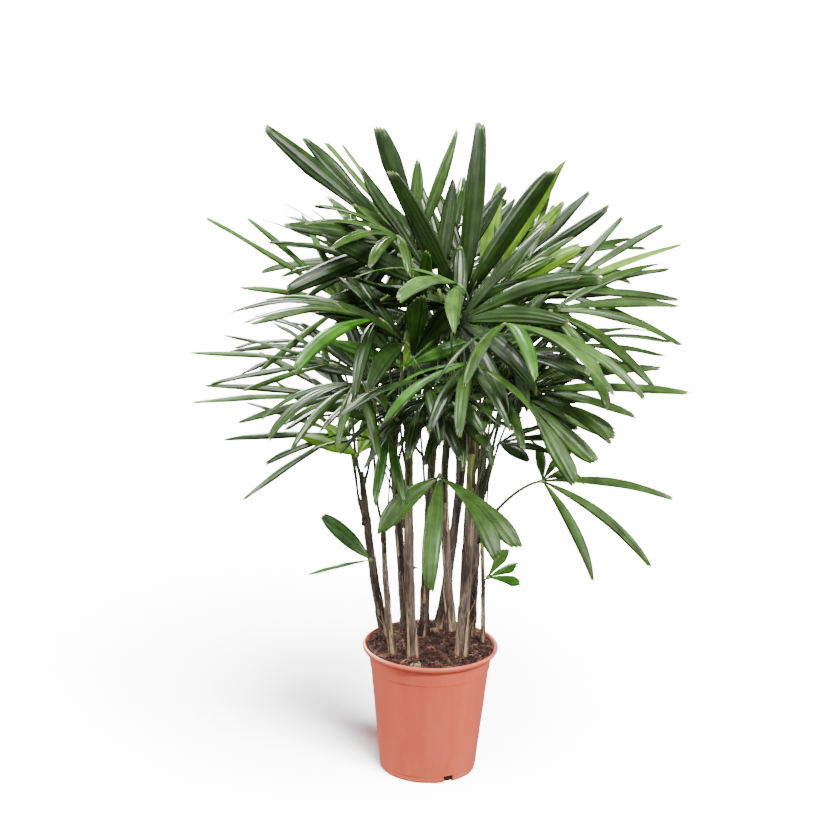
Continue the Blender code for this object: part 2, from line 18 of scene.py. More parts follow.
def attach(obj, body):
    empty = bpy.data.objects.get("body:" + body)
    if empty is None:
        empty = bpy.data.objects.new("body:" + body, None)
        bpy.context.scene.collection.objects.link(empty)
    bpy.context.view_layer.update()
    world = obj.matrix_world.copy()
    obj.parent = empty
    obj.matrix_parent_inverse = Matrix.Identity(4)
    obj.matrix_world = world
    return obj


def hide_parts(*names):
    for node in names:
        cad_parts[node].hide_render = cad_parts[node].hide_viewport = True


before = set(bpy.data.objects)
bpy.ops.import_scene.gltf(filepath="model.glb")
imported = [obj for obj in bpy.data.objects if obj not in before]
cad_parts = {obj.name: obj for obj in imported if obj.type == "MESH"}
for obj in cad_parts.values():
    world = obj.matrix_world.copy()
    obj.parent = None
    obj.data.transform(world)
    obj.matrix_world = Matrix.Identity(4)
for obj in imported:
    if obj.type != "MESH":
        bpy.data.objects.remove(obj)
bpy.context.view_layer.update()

# Driving dimensions of the pot, the soil, the canes and the fronds
POT_HEIGHT = 0.232
RIM_RADIUS = 0.120
RIM_HEIGHT = 0.011
NECK_RADIUS = 0.108
BASE_RADIUS = 0.085
POT_WALL = 0.002
SLOT_WIDTH = 0.018
FIRST_SLOT_HEADING = -64
SLOTS = 3
SOIL_TOP = 0.226
SEAT_GAP = 0.0003
CANE_SPANS = 7
CANE_ROUNDNESS = 2
FOOT_UPRIGHT = 0.006
FOOT_FLARE = 0.22
FLARE_FADE = 14
TIP_FROM = 0.86
TIP_DRAWN_IN = 0.45
PETIOLE_RADIUS = 0.0021
PETIOLE_FOOT = 1.25
PETIOLE_TAPER = 0.35
PETIOLE_SPANS = 5
KNEE_LENGTH = 0.005
STALK_PULL = 0.20
STALK_LIFT = 0.18
STALK_SWINGS = (0, 30, -30, 60, -60, 90, -90)
STALK_BOWS = (0, 0.06, -0.06, 0.12, -0.12, 0.18, -0.18, 0.26, -0.26)
HUB_RADIUS = 0.0055
LEAFLET_START = 0.004
STIFF_STATIONS = (0, 10, 18, 24)
DROOPING_STATIONS = (0, 6, 13, 19, 24)
DROOPING_FROM = 30
LEAFLET_STEPS = 24
OFF_PLANE = 6
STEEPEST_HANG = 6
DROOP_GATHERS = 1.2
THICKNESS_SHARE = 0.0105
NARROWEST = 0.0016
ROOM_SHARE = 0.92
WIDEST_SPACING = 48
OUTER_SHRINK = 0.18
PLAIN_BLADE = (0.14, 0.55, 0.40, 2.3)
BLADE_SECTION = ((0, -1), (1, 1), (-1, 1))
SLEEVE_SECTION = ((1, -1), (1, 1), (-1, 1), (-1, -1))
CLEARANCE = 0.0006
TRIES = 28
LENGTH_SPREAD = (0.94, 1.04)
WIDTH_SPREAD = (0.88, 1.04)
DROOP_SPREAD = (0.8, 1.25)
NUDGE = 14
RAISE = 26
CUT_FROM = 0.5
CUT_SPREAD = (0.6, 1.1)
HALVINGS = 24
WELD = 1e-5


class Cane(NamedTuple):
    """One cane, bent evenly from its foot to its tip."""

    foot: tuple
    middle: tuple
    tip: tuple
    foot_radius: float
    tip_radius: float


class Frond(NamedTuple):
    """One fan: heading and rise point its middle leaflet, turn rolls the fan about it, all in degrees."""

    cane: int
    leaves_at: float
    hub: tuple
    heading: float
    rise: float
    turn: float
    bearings: tuple
    length: float
    width: float
    droop: float
    shares: tuple = ()


def evenly(count, spread):
    """Bearings of leaflets spaced evenly across a fan."""
    return tuple(round(spread * (i / (count - 1) - 0.5), 1) for i in range(count))


CANES = (
    Cane((-0.081, 0.038), (-0.106, 0.022, 0.37), (-0.126, 0.002, 0.545), 0.0088, 0.0062),
    Cane((-0.066, -0.046), (-0.079, -0.062, 0.36), (-0.086, -0.080, 0.500), 0.0062, 0.0046),
    Cane((-0.031, -0.048), (-0.041, -0.056, 0.42), (-0.045, -0.045, 0.680), 0.0102, 0.0072),
    Cane((-0.012, 0.036), (-0.009, 0.010, 0.44), (0.000, 0.015, 0.690), 0.0092, 0.0068),
    Cane((0.013, 0.078), (0.036, 0.085, 0.40), (0.058, 0.100, 0.660), 0.0092, 0.0068),
    Cane((0.039, 0.062), (0.022, 0.045, 0.42), (0.017, 0.030, 0.600), 0.0088, 0.0062),
    Cane((0.054, -0.040), (0.060, -0.056, 0.45), (0.064, -0.060, 0.700), 0.0104, 0.0074),
    Cane((0.072, 0.046), (0.076, 0.028, 0.40), (0.082, 0.030, 0.600), 0.0080, 0.0058),
    Cane((0.093, 0.018), (0.090, 0.002, 0.34), (0.084, -0.012, 0.450), 0.0042, 0.0034),
    Cane((-0.045, 0.072), (-0.062, 0.090, 0.42), (-0.080, 0.112, 0.640), 0.0090, 0.0064),
)

FRONDS = (
    Frond(2, 0.640, (-0.065, 0.020, 0.943), 182, 44, -60, (-7, 3, 32, 60, 92), 0.315, 0.036, 9,
          (1, 0.94, 0.7, 0.75, 0.8)),
    Frond(9, 0.620, (-0.062, 0.110, 0.945), 165, 50, 5, (-34, -14, 6, 26, 44), 0.200, 0.022, 8),
    Frond(3, 0.655, (0.000, -0.020, 0.874), 180, 67, -62, (-58, -30, -1, 8, 40, 66), 0.300, 0.036, 6,
          (0.8, 0.6, 1, 0.86, 0.8, 0.7)),
    Frond(2, 0.665, (-0.048, -0.020, 0.925), 5, 75, 60, (-60, -28, 0, 14, 62), 0.235, 0.030, 6,
          (0.7, 0.8, 1, 0.72, 0.7)),
    Frond(6, 0.670, (0.037, -0.030, 0.856), 0, 88, 62, (-66, -30, 0, 32, 64), 0.305, 0.034, 12),
    Frond(4, 0.640, (0.072, 0.060, 0.840), 12, 61, 78, (-30, -9, 0, 21), 0.275, 0.032, 4,
          (0.7, 0.78, 1, 0.74)),
    Frond(4, 0.600, (0.075, 0.110, 0.833), 8, 42, 55, (-56, -32, -3, 9, 24), 0.280, 0.030, 12,
          (0.8, 0.8, 1, 1, 0.93)),
    Frond(6, 0.640, (0.032, -0.115, 0.842), -20, 38, 50, (-74, -48, -22, 2, 30, 60), 0.230, 0.034, 34),
    Frond(7, 0.560, (0.200, 0.020, 0.868), -3, 14, 55, (-30, -8, 8, 18, 28, 44), 0.225, 0.018, 12,
          (0.82, 0.95, 0.85, 1, 1, 0.8)),
    Frond(4, 0.620, (0.151, 0.090, 0.904), 5, 22, 25, evenly(7, 120), 0.200, 0.020, 25),
    Frond(6, 0.600, (0.186, -0.080, 0.858), -10, 10, 35, (-54, -28, -8, 14, 40), 0.225, 0.026, 34),
    Frond(6, 0.620, (0.108, -0.200, 0.862), -55, 14, 0, (-84, -54, -24, 8, 42, 72), 0.260, 0.032, 66),
    Frond(7, 0.500, (0.148, -0.080, 0.721), -12, 8, 42, (-26, -8, 5, 16, 28, 46), 0.262, 0.020, 20,
          (0.72, 0.75, 1, 0.85, 0.72, 0.6)),
    Frond(7, 0.430, (0.185, -0.050, 0.553), -8, 8, 62, (-56, -28, 0, 30, 58, 92), 0.228, 0.022, 34,
          (0.95, 1.03, 1, 0.36, 0.5, 0.42)),
    Frond(3, 0.450, (0.009, -0.130, 0.581), -92, -28, 0, (-66, -4, 46, 61), 0.205, 0.050, 42,
          (0.74, 0.96, 0.95, 0.97)),
    Frond(0, 0.350, (-0.108, 0.000, 0.385), 180, 36, -60, (-10, 44), 0.115, 0.026, 10),
    Frond(8, 0.340, (0.097, -0.030, 0.369), 0, 34, 60, (-34, -6, 26), 0.056, 0.022, 8),
    Frond(0, 0.500, (-0.134, -0.020, 0.581), 110, 50, -20, (-50, -18, 20, 52), 0.110, 0.026, 14),
    Frond(0, 0.460, (-0.166, 0.020, 0.607), 180, 12, -48, (-34, -13, 10, 28, 46), 0.235, 0.018, 10,
          (0.7, 0.75, 0.86, 0.58, 0.92)),
    Frond(0, 0.520, (-0.177, -0.070, 0.756), 182, 8, -20, (-46, -22, -4, 14, 34), 0.225, 0.017, 12,
          (0.7, 0.85, 1, 0.9, 0.8)),
    Frond(0, 0.535, (-0.171, 0.060, 0.662), 176, 18, -40, (-60, -22, 8, 20, 36), 0.250, 0.021, 12,
          (0.6, 0.7, 0.9, 1, 0.8)),
    Frond(2, 0.600, (-0.095, -0.165, 0.857), 208, 20, -10, (-76, -50, -24, 0, 26, 54), 0.240, 0.028, 50),
    Frond(9, 0.560, (-0.160, 0.040, 0.834), 180, 41, -55, (-30, -5, 8, 30, 48, 72), 0.285, 0.017, 8,
          (0.6, 0.8, 0.96, 0.68, 0.62, 0.8)),
    Frond(9, 0.600, (-0.123, 0.100, 0.885), 176, 30, -15, evenly(7, 120), 0.190, 0.020, 26),
    Frond(2, 0.580, (-0.054, -0.150, 0.816), 205, 38, -20, (-76, -42, -8, 24, 56), 0.205, 0.038, 32),
    Frond(3, 0.640, (0.032, -0.110, 0.905), 200, 26, 0, (-64, -30, 2, 34, 68), 0.190, 0.034, 56),
    Frond(2, 0.620, (-0.070, -0.070, 0.975), 215, 28, -10, evenly(6, 130), 0.160, 0.022, 46),
    Frond(6, 0.620, (0.050, -0.215, 0.800), -110, -2, 0, evenly(6, 150), 0.205, 0.032, 52),
    Frond(6, 0.560, (0.104, -0.140, 0.733), -150, 10, 0, evenly(6, 150), 0.190, 0.026, 42),
    Frond(5, 0.560, (0.036, -0.090, 0.690), -85, -16, 0, evenly(5, 130), 0.140, 0.024, 56),
    Frond(9, 0.500, (-0.086, 0.130, 0.640), 150, -12, 0, evenly(4, 130), 0.170, 0.026, 60),
    Frond(1, 0.460, (-0.130, -0.150, 0.745), 250, -4, 0, evenly(6, 120), 0.205, 0.027, 58),
    Frond(3, 0.620, (-0.020, -0.215, 0.770), -100, 4, 0, evenly(6, 150), 0.190, 0.034, 50),
    Frond(9, 0.630, (-0.100, 0.240, 0.860), 120, 30, 0, evenly(7, 130), 0.240, 0.026, 26),
    Frond(4, 0.650, (0.020, 0.250, 0.880), 85, 36, 0, evenly(7, 130), 0.240, 0.028, 24),
    Frond(4, 0.610, (0.140, 0.220, 0.840), 48, 26, 0, evenly(7, 130), 0.230, 0.026, 28),
    Frond(7, 0.580, (0.205, 0.150, 0.740), 30, 14, 0, evenly(7, 130), 0.210, 0.022, 32),
    Frond(9, 0.540, (-0.190, 0.180, 0.720), 140, 16, 0, evenly(7, 130), 0.215, 0.022, 32),
    Frond(9, 0.520, (-0.040, 0.275, 0.715), 98, 12, 0, evenly(7, 130), 0.220, 0.026, 36),
    Frond(4, 0.520, (0.090, 0.260, 0.700), 68, 10, 0, evenly(7, 130), 0.220, 0.026, 36),
    Frond(5, 0.590, (0.005, 0.150, 0.880), 95, 50, 0, evenly(6, 120), 0.190, 0.028, 16),
    Frond(7, 0.485, (0.150, -0.105, 0.712), -14, -30, 35, (-24, -2, 22), 0.160, 0.040, 16),
    Frond(9, 0.460, (-0.100, 0.190, 0.610), 118, 0, 0, evenly(6, 120), 0.190, 0.024, 34),
    Frond(4, 0.460, (0.040, 0.215, 0.590), 88, -2, 0, evenly(6, 130), 0.205, 0.026, 36),
    Frond(2, 0.560, (-0.057, -0.090, 0.757), 95, 74, 0, evenly(6, 130), 0.140, 0.028, 10),
    Frond(6, 0.520, (0.120, -0.110, 0.790), -35, 20, 0, evenly(6, 150), 0.200, 0.028, 40),
    Frond(3, 0.560, (-0.015, -0.130, 0.715), -115, -6, 0, evenly(6, 150), 0.190, 0.030, 50),
    Frond(0, 0.520, (-0.115, -0.080, 0.705), 228, 8, 0, evenly(6, 130), 0.180, 0.026, 44),
)

# Finishes and finer detail


class CaneLook(NamedTuple):
    """How dark a cane is, the height where it turns young and green, and how green it turns."""

    dark: float
    young_from: float
    youth: float


class LeafTint(NamedTuple):
    """Colours of the fronds that share one tint: two upper skins dealt out by leaflet, veins, underside and wax."""

    bases: tuple
    veins: tuple
    under: str
    roughness: float
    wax: float
    fronds: tuple


CANE_LOOKS = (
    CaneLook(0.55, 0.46, 0.4), CaneLook(0.12, 0.40, 0.9), CaneLook(0.08, 0.47, 0.9), CaneLook(0.45, 0.52, 0.6),
    CaneLook(0.55, 0.56, 0.4), CaneLook(0.15, 0.48, 0.7), CaneLook(0.10, 0.48, 1.0), CaneLook(0.25, 0.46, 0.7),
    CaneLook(0.10, 0.36, 0.9), CaneLook(0.50, 0.52, 0.4),
)

LEAF_TINTS = {
    # The deep tint is partly the leaves' own dark green and partly painted shade: it goes to fronds and leaflets that
    # lie in shade
    "deep": LeafTint(("#0F1F06", "#172B09"), ("#192E0A", "#223C10"), "#1B300B", 0.15, 0.24,
                     (1, 3, 5, 7, 8, 24, 25, 33, 36, 38, 41, 43, 46, 47, 49, 50, 52, 54, 56, 59, 61, 63,
                      65, 67, 69, 71, 73, 78, 79, 80, 82, 84, 86, 88, 90, 93, 95)),
    "mid": LeafTint(("#1E4009", "#2B540E"), ("#2E561A", "#406E26"), "#294210", 0.15, 0.42,
                    (4, 9, 10, 11, 13, 19, 20, 21, 27, 29, 30, 32, 34, 35, 37, 39, 40, 44, 48, 51, 53, 55,
                     57, 58, 60, 62, 64, 66, 68, 70, 72, 74, 75, 81, 83, 85, 87, 89, 91, 92, 94, 96)),
    "fresh": LeafTint(("#285C06", "#367408"), ("#3E7A14", "#529624"), "#305C12", 0.16, 0.42,
                      (16, 17, 22, 28, 31, 45, 77)),
    # The silver tint's paler skins and veins are a painted sheen, on top of the real gloss that its high wax gives
    "silver": LeafTint(("#2E5218", "#3E6628"), ("#507A34", "#749A54"), "#3F5E24", 0.14, 0.80,
                       (2, 12, 14, 15, 23, 26, 42, 76)),
    # The young tint's yellow-green is partly the colour of young leaves and partly painted glow, where light shines
    # through them
    "young": LeafTint(("#40700A", "#54820E"), ("#528216", "#689624"), "#567C18", 0.30, 0.25, (6, 18)),
}

# Leaflets whose tint differs from their fan's; the deep tint paints shade on them, the silver tint a sheen and the
# young tint a backlit glow
LEAFLET_TINTS = {
    (12, 0): "deep", (12, 1): "mid", (12, 2): "fresh", (22, 0): "deep", (22, 1): "mid", (22, 2): "deep",
    (22, 3): "mid", (22, 5): "deep", (28, 2): "deep", (28, 3): "mid", (28, 4): "deep", (28, 5): "mid",
    (26, 0): "mid", (45, 2): "young", (45, 3): "young", (9, 3): "young", (10, 2): "silver", (10, 4): "silver",
    (13, 2): "silver", (11, 0): "silver", (20, 2): "silver", (21, 3): "silver", (19, 1): "silver",
}

# Finer fans that fill the crown's shaded middle, laid by the same rule once the fronds of the solids are in place
INNER_FRONDS = (
    Frond(2, 0.520, (-0.115, 0.020, 0.705), 85, 62, 0, evenly(7, 140), 0.170, 0.028, 16),
    Frond(3, 0.480, (-0.030, 0.050, 0.650), 95, 66, 0, evenly(7, 140), 0.170, 0.028, 16),
    Frond(6, 0.520, (0.050, 0.030, 0.700), 80, 66, 0, evenly(7, 140), 0.180, 0.028, 16),
    Frond(7, 0.490, (0.100, 0.050, 0.655), 70, 60, 0, evenly(7, 140), 0.165, 0.026, 18),
    Frond(9, 0.560, (-0.085, 0.090, 0.790), 100, 58, 0, evenly(7, 140), 0.180, 0.030, 18),
    Frond(4, 0.560, (0.000, 0.080, 0.790), 90, 64, 0, evenly(7, 140), 0.180, 0.030, 16),
    Frond(6, 0.560, (0.085, -0.020, 0.765), 60, 58, 0, evenly(7, 140), 0.160, 0.028, 18),
    Frond(0, 0.470, (-0.150, 0.010, 0.640), 88, 40, 0, evenly(6, 120), 0.120, 0.022, 20),
    Frond(5, 0.500, (0.020, -0.030, 0.640), -80, 48, 0, evenly(6, 140), 0.140, 0.026, 30),
    Frond(2, 0.480, (-0.080, -0.060, 0.650), -110, 44, 0, evenly(6, 140), 0.140, 0.026, 34),
    Frond(7, 0.520, (0.135, -0.020, 0.700), -30, 40, 0, evenly(6, 140), 0.150, 0.026, 34),
    Frond(3, 0.600, (-0.030, 0.020, 0.830), 250, 60, 0, evenly(6, 140), 0.150, 0.028, 22),
    Frond(9, 0.470, (-0.120, 0.120, 0.640), 96, 30, 0, evenly(6, 120), 0.150, 0.024, 26),
    Frond(4, 0.470, (0.060, 0.150, 0.660), 60, 30, 0, evenly(7, 140), 0.170, 0.026, 26),
    Frond(7, 0.470, (0.150, 0.090, 0.650), 20, 30, 0, evenly(7, 140), 0.170, 0.024, 26),
    Frond(9, 0.600, (-0.060, 0.170, 0.860), 110, 44, 0, evenly(7, 140), 0.180, 0.026, 22),
    Frond(4, 0.600, (0.045, 0.140, 0.880), 80, 50, 0, evenly(7, 140), 0.170, 0.026, 20),
    Frond(7, 0.540, (0.125, 0.120, 0.820), 50, 42, 0, evenly(7, 140), 0.170, 0.024, 24),
    Frond(9, 0.580, (-0.110, 0.050, 0.860), 150, 54, 0, evenly(7, 140), 0.150, 0.024, 22),
    Frond(6, 0.600, (0.100, 0.020, 0.870), 30, 56, 0, evenly(7, 140), 0.150, 0.026, 20),
    Frond(5, 0.540, (0.060, -0.040, 0.700), -40, 40, 0, evenly(6, 140), 0.140, 0.026, 34),
    Frond(4, 0.520, (0.010, 0.180, 0.750), 95, 24, 0, evenly(7, 140), 0.180, 0.026, 28),
    Frond(7, 0.540, (0.120, 0.170, 0.760), 50, 26, 0, evenly(7, 140), 0.170, 0.024, 28),
    Frond(9, 0.540, (-0.120, 0.160, 0.770), 100, 28, 0, evenly(6, 120), 0.160, 0.024, 28),
    Frond(3, 0.540, (-0.040, -0.080, 0.860), -100, 40, 0, evenly(6, 140), 0.140, 0.026, 36),
    Frond(2, 0.460, (-0.110, -0.020, 0.610), -100, 26, 0, evenly(5, 120), 0.110, 0.022, 36),
    Frond(7, 0.440, (0.110, 0.010, 0.600), 10, 26, 0, evenly(6, 140), 0.120, 0.024, 36),
    Frond(1, 0.470, (-0.085, -0.130, 0.718), -92, -52, 0, (-24, 2, 28), 0.090, 0.030, 20),
    Frond(1, 0.440, (-0.080, -0.110, 0.651), -84, -62, 0, (-12, 16), 0.120, 0.022, 8),
    Frond(3, 0.600, (-0.041, -0.150, 0.790), -90, 72, 0, (-26, 4, 30), 0.120, 0.044, 10),
    Frond(2, 0.520, (-0.072, -0.130, 0.707), -110, 62, 0, (-8, 26), 0.120, 0.038, 10),
    Frond(2, 0.500, (-0.060, 0.060, 0.720), 80, 50, 75, evenly(7, 150), 0.180, 0.026, 14),
    Frond(6, 0.540, (0.060, 0.060, 0.760), 100, 50, -75, evenly(7, 150), 0.180, 0.026, 14),
    Frond(9, 0.580, (-0.020, 0.180, 0.800), 90, 45, 80, evenly(7, 150), 0.180, 0.026, 14),
    Frond(4, 0.560, (0.110, 0.160, 0.730), 90, 40, -80, evenly(7, 150), 0.180, 0.026, 14),
    Frond(0, 0.500, (-0.140, 0.060, 0.700), 80, 45, 75, evenly(7, 150), 0.160, 0.024, 14),
    Frond(7, 0.500, (0.150, 0.040, 0.730), 100, 45, -75, evenly(7, 150), 0.160, 0.024, 14),
    Frond(3, 0.580, (0.010, -0.040, 0.780), -90, 55, 75, evenly(7, 150), 0.160, 0.026, 14),
    Frond(5, 0.560, (0.030, 0.100, 0.700), 90, 30, 80, evenly(7, 150), 0.170, 0.026, 14),
    Frond(9, 0.600, (-0.070, 0.030, 0.880), 90, 60, 80, evenly(7, 140), 0.170, 0.026, 12),
    Frond(4, 0.600, (0.090, 0.060, 0.900), 90, 60, -80, evenly(7, 140), 0.160, 0.026, 12),
    Frond(7, 0.540, (0.180, 0.090, 0.800), 90, 50, -80, evenly(7, 140), 0.150, 0.024, 12),
    Frond(9, 0.540, (-0.150, 0.130, 0.830), 90, 50, 80, evenly(7, 140), 0.150, 0.024, 12),
    Frond(5, 0.600, (0.020, 0.010, 0.845), 60, 15, 0, evenly(8, 200), 0.170, 0.030, 16),
    Frond(9, 0.600, (-0.040, 0.090, 0.850), 120, 15, 10, evenly(8, 200), 0.170, 0.030, 16),
    Frond(4, 0.600, (0.050, 0.120, 0.840), 70, 15, -10, evenly(8, 200), 0.170, 0.030, 16),
    Frond(3, 0.580, (0.000, 0.060, 0.800), -150, 10, 0, evenly(8, 220), 0.160, 0.030, 16),
    Frond(5, 0.580, (0.040, 0.000, 0.790), -20, 10, 0, evenly(8, 220), 0.160, 0.030, 16),
)

# Width and length shares of the fans, then of the single leaflets, that differ from what the rule makes
FAN_TRIMS = {
    1: (0.86, 1.0), 2: (0.80, 1.0), 9: (0.85, 1.0), 10: (0.80, 1.0), 11: (0.90, 1.0), 13: (0.92, 1.0),
    14: (0.85, 1.0), 19: (0.72, 1.0), 20: (0.72, 1.0), 21: (0.68, 1.0), 23: (0.72, 1.0), 24: (0.74, 1.0),
    26: (0.90, 1.0), 28: (0.70, 0.92), 29: (0.85, 0.95), 31: (0.80, 0.95), 32: (0.78, 0.95), 33: (0.82, 0.95),
    34: (0.85, 1.0), 35: (0.85, 1.0), 36: (0.85, 1.0), 37: (0.85, 1.0), 38: (0.72, 0.92), 43: (0.80, 0.92),
    46: (0.85, 0.95), 47: (0.85, 0.95), 48: (0.78, 0.90),
}
LEAFLET_TRIMS = {
    (1, 0): (0.80, 0.80), (1, 1): (1.05, 1.0), (5, 2): (1.25, 0.985), (3, 2): (1.15, 0.97),
    (12, 0): (0.60, 0.80), (12, 1): (0.70, 0.85), (12, 2): (0.75, 1.0), (14, 2): (0.75, 0.94), (15, 1): (0.62, 1.0),
    (16, 0): (1.15, 1.0), (16, 1): (0.30, 1.0),
}
USUAL_TRIM = (0.94, 1.0)

# The finished leaflet: how blunt its tip is cut, its ribs by width, and the spread of its teeth, twist and folds
BLUNT_FANS = (5, 15, 16, 17, 42)
USUAL_TIPS = (0.28, 0.56)
BLUNT_TIPS = (0.52, 0.62)
DRY_EDGE = "#8A8A4E"
MOST_LEAFLETS = 7
BLADE_ROWS = 15
BLADE_THICKNESS = 0.0005
FINE_ROOT = 0.15
FINE_WIDEST = 0.52
TWO_RIBS_BELOW = 0.019
THREE_RIBS_BELOW = 0.030
TOOTH = (0.001, 0.003)
OBLIQUE = 0.3
TWIST = 0.55
KEEL = (-0.62, -0.06)
PLEAT = (0.08, 0.18)
WAVES = (1.0, 2.6)
RIPPLE = 0.0012
LOWER_ROUGHNESS = 0.38
LOWER_WAX = 0.30

# Leaf stalks: rings along one, its sides, its girth beside the rule's, and the frond whose stalk shows by itself
STALK_SPANS = 14
STALK_SIDES = 10
STALK_ROOT = 0.003
STALK_SLIP = 0.016
STALK_EASE = 0.45
LONE_STALK = 14
LONE_GIRTH = 1.45
USUAL_GIRTH = 1.1
SMALL_GIRTH = 0.75
SMALL_FAN = 0.13

# Canes: facets, ring spacing, sheath spacing, the stretch over which a cane greens, and what hangs on it
CANE_SIDES = 28
CANE_ROW = 0.0045
CANE_SINKS = (0.020, 0.006)
SHEATH_PITCH = 0.074
SHEATH_PITCH_STEP = 0.009
GREENING = 0.07
HUSKS_PER_CANE = 3
HUSK_LENGTH = (0.025, 0.060)
HUSK_WIDTH = (0.003, 0.006)
HUSK_PEEL = (0.0005, 0.004)
HUSK_THICKNESS = 0.0004
THREADS_PER_CANE = 8
THREAD_LENGTH = (0.015, 0.060)
THREAD_RADIUS = 0.0003
# Each is a cane's place in the list, a heading in degrees, then its foot, length, width and peel
FOOT_HUSKS = (
    (0, -70, 0.222, 0.060, 0.005, 0.003), (1, -80, 0.218, 0.062, 0.006, 0.003), (1, 10, 0.220, 0.030, 0.004, 0.003),
    (2, -120, 0.218, 0.100, 0.005, 0.004), (2, -50, 0.220, 0.070, 0.005, 0.005), (3, -90, 0.222, 0.040, 0.005, 0.003),
    (5, -100, 0.222, 0.060, 0.005, 0.003), (6, -125, 0.218, 0.062, 0.008, 0.003), (6, -60, 0.218, 0.105, 0.006, 0.004),
    (7, -80, 0.222, 0.045, 0.005, 0.003), (8, -90, 0.222, 0.040, 0.003, 0.002), (9, 90, 0.222, 0.060, 0.006, 0.003),
    (4, 90, 0.222, 0.060, 0.006, 0.004), (4, -70, 0.222, 0.040, 0.005, 0.003),
)

# The pot's finer detail
POT_TURNS = 128
SLOT_RISE = 0.0130
SLOT_REACH = 0.024
UNDERSIDE = 0.0140
BOTTOM_WALL = 0.0025
RING_DROP = 0.028
FOOT_BAND = 0.0115
CREASE = 38
POT_COLOURS = ("#C5543D", "#CE5E46")

# The soil, what lies on it, and the dark block that paints the shade behind the slots
SOIL_SURFACE = 0.2275
MOUND_PLACE = (-0.005, 0.020)
MOUND_RISE = 0.005
MOUND_SPREAD = 0.0040
BACK_RISE = 0.020
LUMP_RISE = 0.0026
CRUMB_RISE = 0.0012
SOIL_REACH = 0.111
SOIL_RINGS = 62
SOIL_TURNS = 168
SOIL_SKIRT = ((0.1040, 0.2150), (0.0940, 0.1500))
SLOT_SHADE_SIDES = 96
MERGE = 1e-6
LITTER_REACH = 0.109
FIBRE_REACH = 0.110
COIR_FIBRES = 1100
FIBRE_SPANS = 4
FIBRE_LENGTH = (0.010, 0.038)
FIBRE_CURL = 2.6
FIBRE_LIFT = 0.007
FIBRE_RADIUS = (0.00030, 0.00065)
SHORTEST_FIBRE = 0.003
COIR_CRUMBS = 650
CRUMB_SIZE = (0.0016, 0.0042)
TUFT_PLACE = (-0.024, -0.094)
TUFT_SPREAD = (0.0042, 0.0034)
TUFT_STEMS = 70
TUFT_HEIGHT = (0.003, 0.0085)
TUFT_STEM_RADIUS = 0.0006

# The studio. Each floor wash is a name, a direction, a spread in degrees, a strength, and whether only the pot,
# its soil and the dark block of painted shade under it shade it
FLOOR_COLOUR = "#F7F7F7"
FLOOR_SIZE = 40
FLOOR_WASHES = (
    ("High floor wash", (0.227, -0.393, 0.891), 40, 39, False),
    ("Low floor wash", (0.64, -0.70, 0.28), 46, 68, True),
)
BACKDROP_GLOW = 15
SKY_STRENGTH = 0.26
LIGHTS_AIM = (0, 0, 0.50)
# Each is a name, a place, its width and height, and a watt value
LIGHTS = (
    ("Key softbox", (1.7, -2.4, 2.5), (0.6, 0.6), 260),
    ("Front fill", (-0.3, -3.4, 1.1), (1.8, 1.8), 65),
    ("Top softbox", (-0.6, -0.5, 2.9), (0.5, 0.5), 210),
    ("Left strip", (-2.3, 0.1, 1.2), (0.35, 2.0), 100),
    ("Right strip", (2.3, 0.5, 1.2), (0.35, 2.0), 60),
    ("Back softbox", (-1.0, 2.9, 2.0), (0.9, 0.9), 280),
)
CAMERA_PLACE = (0, -3.6, 1.66)
CAMERA_PITCH = 15.79
CAMERA_YAW = 0.435
CAMERA_ROLL = 1.289
CAMERA_LENS = 93.21
SENSOR_WIDTH = 36
CAMERA_REACH = 200


def mesh_of(name, bm):
    """A new mesh made from a bmesh, which is freed."""
    mesh = bpy.data.meshes.new(name)
    bm.to_mesh(mesh)
    bm.free()
    return mesh


def in_scene(name, data):
    """A new object on its data, linked to the scene."""
    made = bpy.data.objects.new(name, data)
    bpy.context.scene.collection.objects.link(made)
    return made


# The rule that lays canes, stalks and leaflets

def body_radius(height):
    """Outer radius of the tapered pot wall."""
    return BASE_RADIUS + (NECK_RADIUS - BASE_RADIUS) * height / (POT_HEIGHT - RIM_HEIGHT)


def cane_point(cane, share):
    """Point on the cane's bent axis, from its foot at 0 to its tip at 1."""
    foot = Vector((*cane.foot, SOIL_TOP + SEAT_GAP))
    middle = 2 * Vector(cane.middle) - (foot + Vector(cane.tip)) / 2
    return foot.lerp(middle, share).lerp(middle.lerp(Vector(cane.tip), share), share)


def cane_radius(cane, share):
    """The cane's radius: flared at its foot, then an even taper, drawn in at its tip."""
    flare = 1 + FOOT_FLARE * math.exp(-share * FLARE_FADE)
    drawn_in = 1 - TIP_DRAWN_IN * max(share - TIP_FROM, 0) / (1 - TIP_FROM)
    return (cane.foot_radius + (cane.tip_radius - cane.foot_radius) * share) * flare * drawn_in


def cane_share_at(cane, height):
    """Share of the cane's axis that lies at a height."""
    low, high = 0.0, 1.0
    for _ in range(HALVINGS):
        half = (low + high) / 2
        if cane_point(cane, half).z < height:
            low = half
        else:
            high = half
    return (low + high) / 2


def bezier(a, b, c, d, share):
    """Point on a cubic curve."""
    rest = 1 - share
    return a * rest ** 3 + b * 3 * rest ** 2 * share + c * 3 * rest * share ** 2 + d * share ** 3


def petiole_path(frond, seat, normal, bow, spans=PETIOLE_SPANS):
    """Leaf stalk: square out of the cane for a few millimetres, then up in a slight arch to its fan."""
    knee = seat + normal * KNEE_LENGTH
    hub = Vector(frond.hub)
    reach = (hub - knee).length
    side = Vector((-normal.y, normal.x, 0)) * bow * reach
    rising = knee + (hub - knee) * STALK_PULL + Vector((0, 0, STALK_LIFT * reach)) + side
    arriving = hub - fan_frame(frond)[0] * STALK_PULL * reach + side
    shares = [i / spans for i in range(spans + 1)]
    return [seat] + [bezier(knee, rising, arriving, hub, share) for share in shares]


